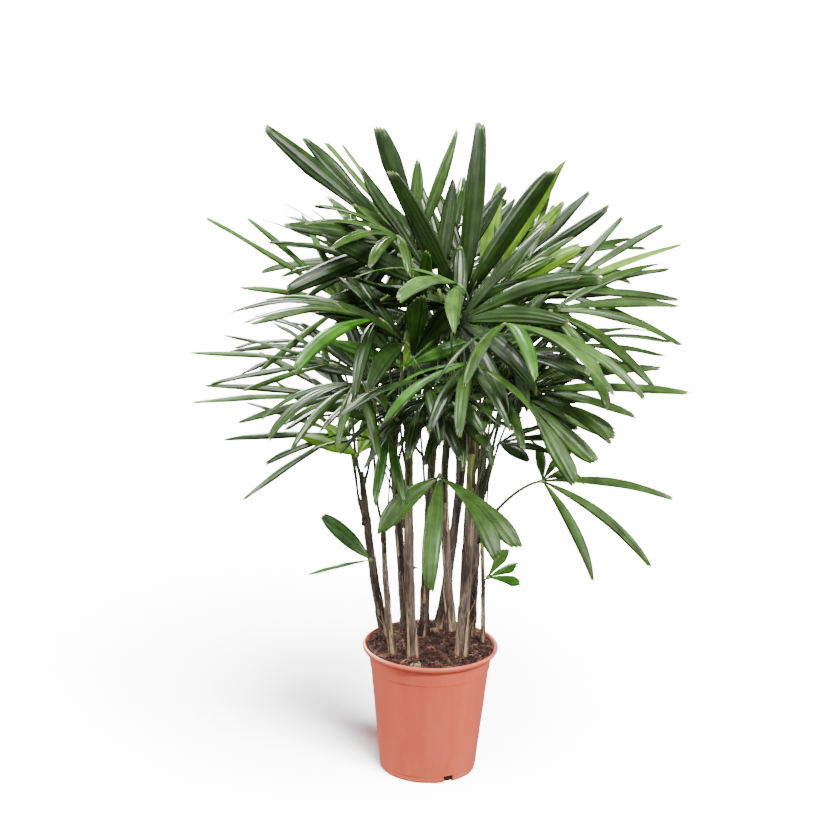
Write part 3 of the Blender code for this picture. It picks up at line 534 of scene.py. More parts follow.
def fan_frame(frond):
    """Middle direction, side direction and upper normal of a fan."""
    heading = math.radians(frond.heading)
    rise = math.radians(frond.rise)
    middle = Vector((math.cos(rise) * math.cos(heading), math.cos(rise) * math.sin(heading), math.sin(rise)))
    level = Vector((-math.sin(heading), math.cos(heading), 0))
    roll = Matrix.Rotation(math.radians(frond.turn), 3, middle)
    side = roll @ level
    return middle, side, middle.cross(side)


def width_share(t, root, widest, blunt, fall):
    """Width of a leaflet along its length as a share of its full width: narrow root, tip as blunt as asked."""
    if t < widest:
        return root + (1 - root) * math.sin(math.pi / 2 * t / widest) ** 0.9
    return 1 - (1 - blunt) * ((t - widest) / (1 - widest)) ** fall


class Leaflet(NamedTuple):
    """One leaflet: coarse stations for the clearance tests, and its whole line for the finished blade."""

    points: list
    across: list
    half_widths: list
    length: float
    line: list
    width: float
    room: float


def lay_leaflet(frond, bearing, spacing, length, width, lift, droop):
    """Lays one leaflet from the hub: it leaves at its bearing, then bends down under its weight."""
    middle, side, _ = fan_frame(frond)
    angle = math.radians(bearing)
    start = middle * math.cos(angle) + side * math.sin(angle)
    across = side * math.cos(angle) - middle * math.sin(angle)
    tip_up = Matrix.Rotation(-math.radians(lift), 3, across)
    start = tip_up @ start
    level = math.hypot(start.x, start.y)
    down = Vector((0, 0, -1))
    axis = start.cross(down)
    axis = axis.normalized() if axis.length > 1e-6 else across
    most = max(start.angle(down) - math.radians(STEEPEST_HANG), 0)
    bend = min(math.radians(droop) * level, most)
    steps = LEAFLET_STEPS
    point = Vector(frond.hub) + start * LEAFLET_START
    found = [(point.copy(), across.copy(), LEAFLET_START)]
    for i in range(steps):
        turn = Matrix.Rotation(bend * ((i + 0.5) / steps) ** DROOP_GATHERS, 3, axis)
        point = point + turn @ start * (length / steps)
        turn_here = Matrix.Rotation(bend * ((i + 1) / steps) ** DROOP_GATHERS, 3, axis)
        found.append((point.copy(), turn_here @ across, LEAFLET_START + length * (i + 1) / steps))
    room = math.tan(math.radians(spacing) / 2) * ROOM_SHARE
    stations = DROOPING_STATIONS if frond.droop >= DROOPING_FROM else STIFF_STATIONS
    picked = [found[step] for step in stations]
    half_widths = [min(width / 2 * width_share(step / steps, *PLAIN_BLADE), max(spot[2] * room, NARROWEST))
                   for step, spot in zip(stations, picked)]
    return Leaflet([s[0] for s in picked], [s[1] for s in picked], half_widths, length, found, width, room)


def cut_rows(bm, cuts, rise=0.5):
    """Cuts a bmesh into rows across the edges that climb by more than the rise."""
    climbing = [e for e in bm.edges if abs(e.verts[0].co.z - e.verts[1].co.z) > rise]
    bmesh.ops.subdivide_edges(bm, edges=climbing, cuts=cuts, use_grid_fill=True)


def leaflet_shape(leaflet, section=BLADE_SECTION, grow=0.0):
    """A closed blade along the stations; its section lists corners as shares of half width and thickness."""
    corners = len(section)
    spans = len(leaflet.points) - 1
    bm = bmesh.new()
    bmesh.ops.create_cone(bm, cap_ends=True, segments=corners, radius1=1, radius2=1, depth=1)
    cut_rows(bm, spans - 1)
    half_thick = leaflet.length * THICKNESS_SHARE / 2 + grow
    for vert in bm.verts:
        at = round((vert.co.z + 0.5) * spans)
        corner = round(math.atan2(vert.co.y, vert.co.x) / math.tau * corners) % corners
        towards, up = section[corner]
        before = leaflet.points[max(at - 1, 0)]
        after = leaflet.points[min(at + 1, spans)]
        across = leaflet.across[at]
        normal = (after - before).cross(across).normalized()
        out = across * towards * (leaflet.half_widths[at] + grow)
        vert.co = leaflet.points[at] + out + normal * up * half_thick
    bmesh.ops.recalc_face_normals(bm, faces=bm.faces)
    return bm


def tree_of(bm):
    """Search tree and bounding box of a bmesh, which is freed."""
    points = [v.co.copy() for v in bm.verts]
    low = Vector([min(p[k] for p in points) for k in range(3)])
    high = Vector([max(p[k] for p in points) for k in range(3)])
    tree = BVHTree.FromBMesh(bm)
    bm.free()
    return tree, low, high


def meets_any(trial, placed):
    """Whether a trial tree cuts any placed one."""
    tree, low, high = trial
    for other, other_low, other_high in placed:
        if any(low[k] > other_high[k] or high[k] < other_low[k] for k in range(3)):
            continue
        if tree.overlap(other):
            return True
    return False


def petiole_seat(frond, cane, cane_tree, swing):
    """Where the stalk leaves its cane: just off the facet that faces the fan, or a swing round from it."""
    axis = cane_point(cane, cane_share_at(cane, frond.leaves_at))
    outward = Vector(frond.hub) - axis
    outward.z = 0
    outward = Matrix.Rotation(math.radians(swing), 3, "Z") @ outward.normalized()
    outside = axis + outward * 2 * cane.foot_radius
    spot, normal, _, _ = cane_tree.find_nearest(outside)
    return spot + normal * SEAT_GAP, normal


def tube(points, radii, roundness):
    """A bmesh tube along the points, welded at its caps."""
    data = bpy.data.curves.new("trial", "CURVE")
    data.dimensions = "3D"
    data.bevel_depth = 1
    data.bevel_resolution = roundness
    data.use_fill_caps = True
    spline = data.splines.new("POLY")
    spline.points.add(len(points) - 1)
    for spot, point, radius in zip(spline.points, points, radii):
        spot.co = (*point, 1)
        spot.radius = radius
    curve = in_scene("trial", data)
    bpy.context.view_layer.update()
    evaluated = curve.evaluated_get(bpy.context.evaluated_depsgraph_get())
    mesh = bpy.data.meshes.new_from_object(evaluated)
    bm = bmesh.new()
    bm.from_mesh(mesh)
    bmesh.ops.remove_doubles(bm, verts=bm.verts, dist=WELD)
    bmesh.ops.recalc_face_normals(bm, faces=bm.faces)
    bpy.data.objects.remove(curve)
    bpy.data.curves.remove(data)
    bpy.data.meshes.remove(mesh)
    return bm


def cane_tube(cane):
    """The plain cane that the solids have, for the clearance tests."""
    shares = [i / CANE_SPANS for i in range(CANE_SPANS + 1)]
    points = [cane_point(cane, share) for share in shares]
    radii = [cane_radius(cane, share) for share in shares]
    points.insert(1, points[0] + Vector((0, 0, FOOT_UPRIGHT)))
    radii.insert(1, radii[0])
    return tube(points, radii, CANE_ROUNDNESS)


def swept_tree(path, radius):
    """Search tree of a stalk along the path, stoutest at its foot."""
    last = len(path) - 1
    radii = [radius * (PETIOLE_FOOT - PETIOLE_TAPER * i / last) for i in range(len(path))]
    return tree_of(tube(path, radii, 0))


def cad_trees(*names):
    """Search trees of nodes of the frame."""
    found = []
    for name in names:
        bm = bmesh.new()
        bm.from_mesh(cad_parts[name].data)
        found.append(tree_of(bm))
    return found


def clear_stalk(frond, cane_trees, blocked):
    """A stalk swung round and bowed just enough to miss everything: its seat, normal, bow and tree, or nothing."""
    ways = sorted(itertools.product(STALK_SWINGS, STALK_BOWS), key=lambda way: abs(way[0]) / 90 + abs(way[1]) / 0.2)
    wide = PETIOLE_RADIUS + CLEARANCE
    own = cane_trees[frond.cane]
    for swing, bow in ways:
        seat, normal = petiole_seat(frond, CANES[frond.cane], own[0], swing)
        path = petiole_path(frond, seat, normal, bow)
        if meets_any(swept_tree(path, wide), blocked):
            continue
        if not meets_any(swept_tree(path[1:], wide), [own]):
            return seat, normal, bow, swept_tree(path, PETIOLE_RADIUS)
    return None


def lay_petioles(cane_trees, hub_trees):
    """Every stalk in turn, clear of canes, hubs and the stalks before it."""
    placed = []
    found = []
    for number, frond in enumerate(FRONDS, 1):
        others = [tree for i, tree in enumerate(cane_trees) if i != frond.cane]
        others += [tree for i, tree in enumerate(hub_trees, 1) if i != number]
        seat, normal, bow, tree = clear_stalk(frond, cane_trees, others + placed)
        found.append((seat, normal, bow))
        placed.append(tree)
    return found, placed


def lay_fan(number, frond, blocked):
    """The fan's leaflets: each is turned a little until it is clear, then shortened, then left out."""
    chance = random.Random(number)
    bearings = frond.bearings
    gaps = [b - a for a, b in zip(bearings, bearings[1:])]
    found = {}
    for i, bearing in enumerate(bearings):
        near = gaps[max(i - 1, 0):i + 1]
        spacing = min(*near, WIDEST_SPACING)
        share = frond.shares[i] if frond.shares else 1
        shrink = 1 - OUTER_SHRINK * (1 - math.cos(math.radians(bearing)))
        length = frond.length * share * shrink * chance.uniform(*LENGTH_SPREAD)
        width = frond.width * chance.uniform(*WIDTH_SPREAD)
        droop = frond.droop * chance.uniform(*DROOP_SPREAD) / share
        lift = chance.uniform(-OFF_PLANE, OFF_PLANE)
        for trial in range(TRIES):
            reach = trial / TRIES
            nudged = bearing + chance.uniform(-NUDGE, NUDGE) * reach
            raised = lift + chance.uniform(-RAISE, RAISE) * reach
            cut = 1 - max(reach - CUT_FROM, 0) * chance.uniform(*CUT_SPREAD)
            leaflet = lay_leaflet(frond, nudged, spacing, length * cut, width, raised, droop)
            if not meets_any(tree_of(leaflet_shape(leaflet, SLEEVE_SECTION, CLEARANCE)), blocked):
                found[i] = leaflet
                break
    return found


def fan_trees(fan):
    """Search trees of a fan's leaflets."""
    return [tree_of(leaflet_shape(leaflet)) for leaflet in fan.values()]


def hub_tree(frond):
    """Search tree of the ball that a fan's leaflets leave from."""
    bm = bmesh.new()
    bmesh.ops.create_icosphere(bm, subdivisions=1, radius=HUB_RADIUS + CLEARANCE)
    bmesh.ops.translate(bm, verts=bm.verts, vec=Vector(frond.hub))
    return tree_of(bm)


# Materials

def linear(hex_colour):
    """Linear RGBA of an sRGB hex colour."""
    parts = [int(hex_colour[i:i + 2], 16) / 255 for i in (1, 3, 5)]
    return (*[c / 12.92 if c <= 0.04045 else ((c + 0.055) / 1.055) ** 2.4 for c in parts], 1)


def add_node(material, kind, settings=None, links=None, stops=()):
    """One node with its settings, its inputs set to values or linked to outputs, and a ramp's colour stops."""
    node = material.node_tree.nodes.new(kind)
    for i, (position, colour) in enumerate(stops):
        element = node.color_ramp.elements[i] if i < 2 else node.color_ramp.elements.new(position)
        element.position = position
        element.color = linear(colour)
    for name, value in (settings or {}).items():
        setattr(node, name, value)
    for name, value in (links or {}).items():
        if isinstance(value, bpy.types.NodeSocket):
            material.node_tree.links.new(value, node.inputs[name])
        else:
            node.inputs[name].default_value = value
    return node


def new_material(name, **values):
    """A Principled material and its shader, with plain values set on the shader's own sockets."""
    material = bpy.data.materials.new(name)
    material.use_nodes = True
    shader = material.node_tree.nodes["Principled BSDF"]
    for socket, value in values.items():
        shader.inputs[socket.replace("_", " ")].default_value = value
    return material, shader


def wired(material, shader, **outputs):
    """Links outputs to the shader's sockets of those names and hands the finished material back."""
    for socket, output in outputs.items():
        material.node_tree.links.new(output, shader.inputs[socket.replace("_", " ")])
    return material


def mottled(material, colour, share, where, scale, detail, stops):
    """A colour multiplied by the ramp of a noise, at the share given."""
    patches = add_node(material, "ShaderNodeTexNoise", links={"Vector": where, "Scale": scale, "Detail": detail})
    shade = add_node(material, "ShaderNodeValToRGB", links={"Fac": patches.outputs["Fac"]}, stops=stops)
    return add_node(material, "ShaderNodeMix", {"data_type": "RGBA", "blend_type": "MULTIPLY"}, {
        0: share, 6: colour, 7: shade.outputs["Color"]}).outputs[2]


def leaf_material(name, base, vein, roughness, wax):
    """Living palm leaf. A waxy cuticle gives it a broad satin gloss over fine lengthwise veins."""
    material, shader = new_material(name, Roughness=roughness, IOR=1.45, Specular_IOR_Level=wax)
    blade = add_node(material, "ShaderNodeAttribute", {"attribute_name": "blade"})
    split = add_node(material, "ShaderNodeSeparateXYZ", links={"Vector": blade.outputs["Vector"]})
    # Veins stand 2 mm apart and run 90 mm before they fade: real ones are finer, and this coarse they still show
    across = add_node(material, "ShaderNodeMath", {"operation": "DIVIDE"}, {0: split.outputs["X"], 1: 0.0020})
    along = add_node(material, "ShaderNodeMath", {"operation": "DIVIDE"}, {0: split.outputs["Y"], 1: 0.090})
    strip = add_node(material, "ShaderNodeCombineXYZ", links={"X": across.outputs[0], "Y": along.outputs[0]})
    veins = add_node(material, "ShaderNodeTexNoise", {"noise_dimensions": "2D"}, {
        "Vector": strip.outputs[0], "Scale": 1.0, "Detail": 2.0, "Roughness": 0.6})
    streaks = add_node(material, "ShaderNodeValToRGB", links={"Fac": veins.outputs["Fac"]},
                       stops=((0.38, "#000000"), (0.62, "#FFFFFF")))
    green = add_node(material, "ShaderNodeMix", {"data_type": "RGBA"}, {
        0: streaks.outputs["Color"], 6: linear(base), 7: linear(vein)})
    # Patches of deeper green 30 mm wide, as chlorophyll varies over a blade
    where = add_node(material, "ShaderNodeTexCoord").outputs["Object"]
    varied = mottled(material, green.outputs[2], 0.8, where, 33.0, 3.0, ((0.32, "#989898"), (0.68, "#FFFFFF")))
    # The blunt tip dries to a thin tan edge
    dry = add_node(material, "ShaderNodeValToRGB", links={"Fac": split.outputs["Z"]},
                   stops=((0.972, "#000000"), (1.0, "#9A9A9A")))
    skin = add_node(material, "ShaderNodeMix", {"data_type": "RGBA"}, {
        0: dry.outputs["Color"], 6: varied, 7: linear(DRY_EDGE)})
    bump = add_node(material, "ShaderNodeBump", links={
        "Height": veins.outputs["Fac"], "Strength": 0.45, "Distance": 0.0008})
    return wired(material, shader, Base_Color=skin.outputs[2], Normal=bump.outputs["Normal"])


def stalk_material():
    """Living leaf stalk: smooth green skin with a low satin gloss, browner towards its foot."""
    material, shader = new_material("Leaf stalk skin", Roughness=0.45, IOR=1.45)
    blade = add_node(material, "ShaderNodeAttribute", {"attribute_name": "blade"})
    along = add_node(material, "ShaderNodeSeparateXYZ", links={"Vector": blade.outputs["Vector"]})
    skin = add_node(material, "ShaderNodeValToRGB", links={"Fac": along.outputs["Z"]},
                    stops=((0.0, "#4B3F2A"), (0.25, "#38452A"), (0.9, "#4A6630"), (1.0, "#748A44")))
    # Freckles 4 mm across, where the skin has rubbed
    where = add_node(material, "ShaderNodeTexCoord").outputs["Object"]
    rubbed = mottled(material, skin.outputs["Color"], 0.8, where, 240.0, 2.0, ((0.35, "#A8A8A8"), (0.65, "#FFFFFF")))
    return wired(material, shader, Base_Color=rubbed)


def cane_material():
    """Cane wrapped in old leaf sheaths: coarse dull fibre, tan where it frays and olive where it is young."""
    material, shader = new_material("Fibrous sheath on cane", Roughness=0.86, IOR=1.45)
    sheath = add_node(material, "ShaderNodeAttribute", {"attribute_name": "sheath"})
    split = add_node(material, "ShaderNodeSeparateXYZ", links={"Vector": sheath.outputs["Vector"]})
    where = add_node(material, "ShaderNodeTexCoord").outputs["Object"]
    # Fibres are about 1.1 mm across and 50 mm long, upright with the cane
    upright = add_node(material, "ShaderNodeMapping", links={"Vector": where, "Scale": (900.0, 900.0, 20.0)})
    fibres = add_node(material, "ShaderNodeTexNoise", links={
        "Vector": upright.outputs["Vector"], "Scale": 1.0, "Detail": 3.0, "Roughness": 0.65})
    brown = add_node(material, "ShaderNodeValToRGB", links={"Fac": fibres.outputs["Fac"]},
                     stops=((0.26, "#2B231D"), (0.44, "#5A4C40"), (0.61, "#857462"), (0.80, "#C4B094")))
    olive = add_node(material, "ShaderNodeValToRGB", links={"Fac": fibres.outputs["Fac"]},
                     stops=((0.30, "#3E4A1C"), (0.55, "#808E42"), (0.75, "#B8BE70")))
    aged = add_node(material, "ShaderNodeMix", {"data_type": "RGBA"}, {
        0: split.outputs["Z"], 6: brown.outputs["Color"], 7: olive.outputs["Color"]})
    # Stains 11 mm wide and 70 mm long, where sheaths have rotted darker
    along_cane = add_node(material, "ShaderNodeMapping", links={"Vector": where, "Scale": (90.0, 90.0, 14.0)})
    stained = mottled(material, aged.outputs[2], 0.9, along_cane.outputs["Vector"], 1.0, 2.0,
                      ((0.36, "#857A74"), (0.62, "#FFFFFF")))
    darkened = add_node(material, "ShaderNodeMix", {"data_type": "RGBA"}, {
        0: split.outputs["X"], 6: stained, 7: linear("#221D1B")})
    # The top 7% of each sheath frays to tan
    edge = add_node(material, "ShaderNodeValToRGB", links={"Fac": split.outputs["Y"]},
                    stops=((0.93, "#000000"), (1.0, "#8A8A8A")))
    bark = add_node(material, "ShaderNodeMix", {"data_type": "RGBA"}, {
        0: edge.outputs["Color"], 6: darkened.outputs[2], 7: linear("#B0987A")})
    bump = add_node(material, "ShaderNodeBump", links={
        "Height": fibres.outputs["Fac"], "Strength": 0.9, "Distance": 0.0012})
    return wired(material, shader, Base_Color=bark.outputs[2], Normal=bump.outputs["Normal"])


def streaked_material(name, stops, roughness, width, length):
    """Dry plant fibre: matt, streaked along its grain in the widths given."""
    material, shader = new_material(name, Roughness=roughness, IOR=1.45)
    where = add_node(material, "ShaderNodeTexCoord").outputs["Object"]
    grain = add_node(material, "ShaderNodeMapping", links={
        "Vector": where, "Scale": (1 / width, 1 / width, 1 / length)})
    streaks = add_node(material, "ShaderNodeTexNoise", links={
        "Vector": grain.outputs["Vector"], "Scale": 1.0, "Detail": 3.0, "Roughness": 0.6})
    colour = add_node(material, "ShaderNodeValToRGB", links={"Fac": streaks.outputs["Fac"]}, stops=stops)
    bump = add_node(material, "ShaderNodeBump", links={
        "Height": streaks.outputs["Fac"], "Strength": 0.6, "Distance": 0.0008})
    return wired(material, shader, Base_Color=colour.outputs["Color"], Normal=bump.outputs["Normal"])


def pot_material():
    """Injection moulded polypropylene in terracotta colour: even, with a soft sheen and a faint flow swirl."""
    material, shader = new_material("Terracotta coloured polypropylene", Roughness=0.42, IOR=1.49)
    where = add_node(material, "ShaderNodeTexCoord").outputs["Object"]
    # The melt's flow marks are upright swirls 25 mm wide and 120 mm tall
    tall = add_node(material, "ShaderNodeMapping", links={"Vector": where, "Scale": (40.0, 40.0, 8.0)})
    flow = add_node(material, "ShaderNodeTexNoise", links={
        "Vector": tall.outputs["Vector"], "Scale": 1.0, "Detail": 2.0, "Distortion": 0.6})
    body = add_node(material, "ShaderNodeValToRGB", links={"Fac": flow.outputs["Fac"]},
                    stops=((0.30, POT_COLOURS[0]), (0.70, POT_COLOURS[1])))
    # A fine mould grain, 0.8 mm, keeps the sheen from looking polished
    grain = add_node(material, "ShaderNodeTexNoise", links={"Vector": where, "Scale": 1250.0, "Detail": 1.0})
    sheen = add_node(material, "ShaderNodeMapRange", links={
        "Value": grain.outputs["Fac"], "To Min": 0.30, "To Max": 0.40})
    bump = add_node(material, "ShaderNodeBump", links={
        "Height": grain.outputs["Fac"], "Strength": 0.12, "Distance": 0.0002})
    return wired(material, shader, Base_Color=body.outputs["Color"], Roughness=sheen.outputs["Result"],
                 Normal=bump.outputs["Normal"])


def soil_material():
    """Moist coir potting soil: red-brown crumbs 3 mm across, with painted shade that turns almost black between them.
    """
    material, shader = new_material("Coir potting soil", Roughness=0.95, IOR=1.4)
    where = add_node(material, "ShaderNodeTexCoord").outputs["Object"]
    crumbs = add_node(material, "ShaderNodeTexVoronoi", {"feature": "F1"}, {"Vector": where, "Scale": 330.0})
    # Red-brown at each crumb's middle, darkening to almost black at its edges: painted shade in the gaps between
    # crumbs
    crumb_and_gap_shade = add_node(material, "ShaderNodeValToRGB", links={"Fac": crumbs.outputs["Distance"]},
                     stops=((0.0, "#50301F"), (0.45, "#3B2218"), (0.9, "#150B08")))
    # Drier, duller patches 7 mm wide
    damp = mottled(material, crumb_and_gap_shade.outputs["Color"], 0.8, where, 150.0, 4.0, ((0.3, "#8C7468"), (0.7, "#FFFFFF")))
    bump = add_node(material, "ShaderNodeBump", {"invert": True}, {
        "Height": crumbs.outputs["Distance"], "Strength": 1.0, "Distance": 0.0025})
    return wired(material, shader, Base_Color=damp, Normal=bump.outputs["Normal"])


# Building pieces

def add_piece(name, bm, materials, smooth=True, replaced=()):
    """Turns a bmesh into a piece of the plant that rides on its one body."""
    mesh = mesh_of(name, bm)
    for material in materials:
        mesh.materials.append(material)
    if smooth:
        mesh.shade_smooth()
    piece = in_scene(name, mesh)
    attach(piece, "root")
    if replaced:
        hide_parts(*replaced)
    return piece


def frames_along(points):
    """Two cross directions at each point of a line, carried along it without twist."""
    last = len(points) - 1
    tangents = [(points[min(i + 1, last)] - points[max(i - 1, 0)]).normalized() for i in range(last + 1)]
    first = tangents[0].orthogonal().normalized()
    found = []
    for tangent in tangents:
        first = (first - tangent * first.dot(tangent)).normalized()
        found.append((first.copy(), tangent.cross(first)))
    return found


def add_rod(bm, points, radius_at, segments, attribute=None, mark=None):
    """A closed rod along the points. radius_at(angle, row) gives its radius, mark(angle, row) its attribute."""
    rod = bmesh.new()
    layer = rod.verts.layers.float_vector.new(attribute) if attribute else None
    bmesh.ops.create_cone(rod, cap_ends=True, segments=segments, radius1=1, radius2=1, depth=1)
    spans = len(points) - 1
    cut_rows(rod, spans - 1)
    cross = frames_along(points)
    for vert in rod.verts:
        row = round((vert.co.z + 0.5) * spans)
        angle = math.atan2(vert.co.y, vert.co.x)
        if attribute:
            vert[layer] = mark(angle, row)
        first, second = cross[row]
        vert.co = points[row] + (first * math.cos(angle) + second * math.sin(angle)) * radius_at(angle, row)
    mesh = mesh_of("rod", rod)
    bm.from_mesh(mesh)
    bpy.data.meshes.remove(mesh)


def turned(profile, steps):
    """A bmesh of a profile of radii and heights, spun round the pot's axis and merged there."""
    bm = bmesh.new()
    line = [bm.verts.new((radius, 0, height)) for radius, height in profile]
    edges = [bm.edges.new(pair) for pair in zip(line, line[1:])]
    bmesh.ops.spin(bm, geom=line + edges, cent=(0, 0, 0), axis=(0, 0, 1), dvec=(0, 0, 0), angle=math.tau,
                   steps=steps, use_merge=True, use_duplicate=False)
    bmesh.ops.remove_doubles(bm, verts=bm.verts, dist=MERGE)
    return bm


def make_pot():
    """The pot, turned from its profile, with three drainage slots at its foot."""
    lip_bottom = POT_HEIGHT - RIM_HEIGHT
    ring, band = lip_bottom - RING_DROP, FOOT_BAND
    profile = [
        (0, UNDERSIDE), (BASE_RADIUS - 0.0060, UNDERSIDE), (BASE_RADIUS - 0.0048, 0.0005), (BASE_RADIUS - 0.0040, 0),
        (BASE_RADIUS - 0.0018, 0), (BASE_RADIUS - 0.0008, 0.0008), (body_radius(band) - 0.0004, band - 0.0024),
        (body_radius(band) - 0.0010, band - 0.0012), (body_radius(band) - 0.0008, band - 0.0002),
        (body_radius(band) + 0.0004, band + 0.0002), (body_radius(band) + 0.0005, band + 0.0012),
        (body_radius(band + 0.006), band + 0.006),
        (body_radius(ring) - 0.0004, ring - 0.0022), (body_radius(ring) - 0.0002, ring - 0.0006),
        (body_radius(ring) + 0.0011, ring), (body_radius(ring) + 0.0012, ring + 0.0012),
        (NECK_RADIUS + 0.0007, lip_bottom - 0.0060), (NECK_RADIUS + 0.0012, lip_bottom - 0.0030),
        (NECK_RADIUS + 0.0034, lip_bottom - 0.0010), (RIM_RADIUS - 0.0056, lip_bottom - 0.0002),
        (RIM_RADIUS - 0.0036, lip_bottom + 0.0006), (RIM_RADIUS - 0.0018, lip_bottom + 0.0024),
        (RIM_RADIUS - 0.0006, lip_bottom + 0.0046), (RIM_RADIUS, lip_bottom + 0.0068),
        (RIM_RADIUS - 0.0003, POT_HEIGHT - 0.0022), (RIM_RADIUS - 0.0012, POT_HEIGHT - 0.0008),
        (RIM_RADIUS - 0.0022, POT_HEIGHT - 0.0002),
        (RIM_RADIUS - 0.0034, POT_HEIGHT), (RIM_RADIUS - 0.0060, POT_HEIGHT - 0.0016),
        (RIM_RADIUS - 0.0068, POT_HEIGHT - 0.0030),
        (NECK_RADIUS - POT_WALL + 0.0018, lip_bottom - 0.0040), (NECK_RADIUS - POT_WALL, lip_bottom - 0.0090),
        (BASE_RADIUS - POT_WALL - 0.0010, UNDERSIDE + BOTTOM_WALL + 0.0010),
        (BASE_RADIUS - POT_WALL - 0.0030, UNDERSIDE + BOTTOM_WALL), (0, UNDERSIDE + BOTTOM_WALL),
    ]
    bm = turned(profile, POT_TURNS)
    bmesh.ops.recalc_face_normals(bm, faces=bm.faces)
    pot = add_piece("nursery_pot", bm, [pot_material()], replaced=("pot",))
    cutters = []
    for i in range(SLOTS):
        heading = math.radians(FIRST_SLOT_HEADING + 360 / SLOTS * i)
        slot_bm = bmesh.new()
        bmesh.ops.create_cube(slot_bm, size=1)
        place = Matrix.Rotation(heading, 4, "Z") @ Matrix.Translation((BASE_RADIUS, 0, 0))
        size = Matrix.Diagonal((SLOT_REACH, SLOT_WIDTH, 2 * SLOT_RISE, 1))
        bmesh.ops.transform(slot_bm, matrix=place @ size, verts=slot_bm.verts)
        cutter = in_scene("slot_cutter", mesh_of("slot_cutter", slot_bm))
        cut = pot.modifiers.new("Slot", "BOOLEAN")
        cut.operation = "DIFFERENCE"
        cut.object = cutter
        cutters.append(cutter)
    bpy.context.view_layer.update()
    finished = bpy.data.meshes.new_from_object(pot.evaluated_get(bpy.context.evaluated_depsgraph_get()))
    pot.modifiers.clear()
    pot.data = finished
    finished.set_sharp_from_angle(angle=math.radians(CREASE))
    for cutter in cutters:
        bpy.data.objects.remove(cutter)
    return pot


def make_slot_shade_block():
    """A dark block in the soil's colour under the pot's raised floor, behind the drainage slots: painted shade seen
    through them.
    """
    bm = bmesh.new()
    bmesh.ops.create_cone(bm, cap_ends=True, segments=SLOT_SHADE_SIDES, radius1=BASE_RADIUS - 0.0058,
                          radius2=BASE_RADIUS - 0.0070, depth=UNDERSIDE - 0.001,
                          matrix=Matrix.Translation((0, 0, UNDERSIDE / 2 + 0.0002)))
    cut_rows(bm, 3, rise=0.002)
    for vert in bm.verts:
        if 0.001 < vert.co.z < UNDERSIDE - 0.001:
            vert.co *= 1 - 0.02 * abs(noise.noise(vert.co * 160))
    bmesh.ops.recalc_face_normals(bm, faces=bm.faces)
    return add_piece("slot_shade_block", bm, [soil_material()])


def soil_height(x, y):
    """Height of the soil's surface: mounded in the middle, rising to the back, lumpy all over."""
    away = (x - MOUND_PLACE[0]) ** 2 + (y - MOUND_PLACE[1]) ** 2
    mound = SOIL_SURFACE + MOUND_RISE * math.exp(-away / MOUND_SPREAD)
    lumps = noise.fractal(Vector((x, y, 0.3)) * 70, 1.0, 2.1, 3) * LUMP_RISE
    crumbs = noise.noise(Vector((x, y, 0.9)) * 330) * CRUMB_RISE
    return min(mound + BACK_RISE * y + lumps + crumbs, POT_HEIGHT + 0.002)


def make_soil():
    """The soil: a lumpy disc on the plug, from the pot's axis out to its wall."""
    bm = turned([(SOIL_REACH * i / SOIL_RINGS, 0) for i in range(SOIL_RINGS + 1)], SOIL_TURNS)
    for vert in bm.verts:
        vert.co.z = soil_height(vert.co.x, vert.co.y)
    for radius, height in SOIL_SKIRT:
        wall = bmesh.ops.extrude_edge_only(bm, edges=[e for e in bm.edges if e.is_boundary])["geom"]
        for vert in [g for g in wall if isinstance(g, bmesh.types.BMVert)]:
            vert.co = Vector((vert.co.x, vert.co.y, 0)).normalized() * radius + Vector((0, 0, height))
    bmesh.ops.contextual_create(bm, geom=[e for e in bm.edges if e.is_boundary])
    bmesh.ops.recalc_face_normals(bm, faces=bm.faces)
    return add_piece("coir_soil_bed", bm, [soil_material()], replaced=("soil",))


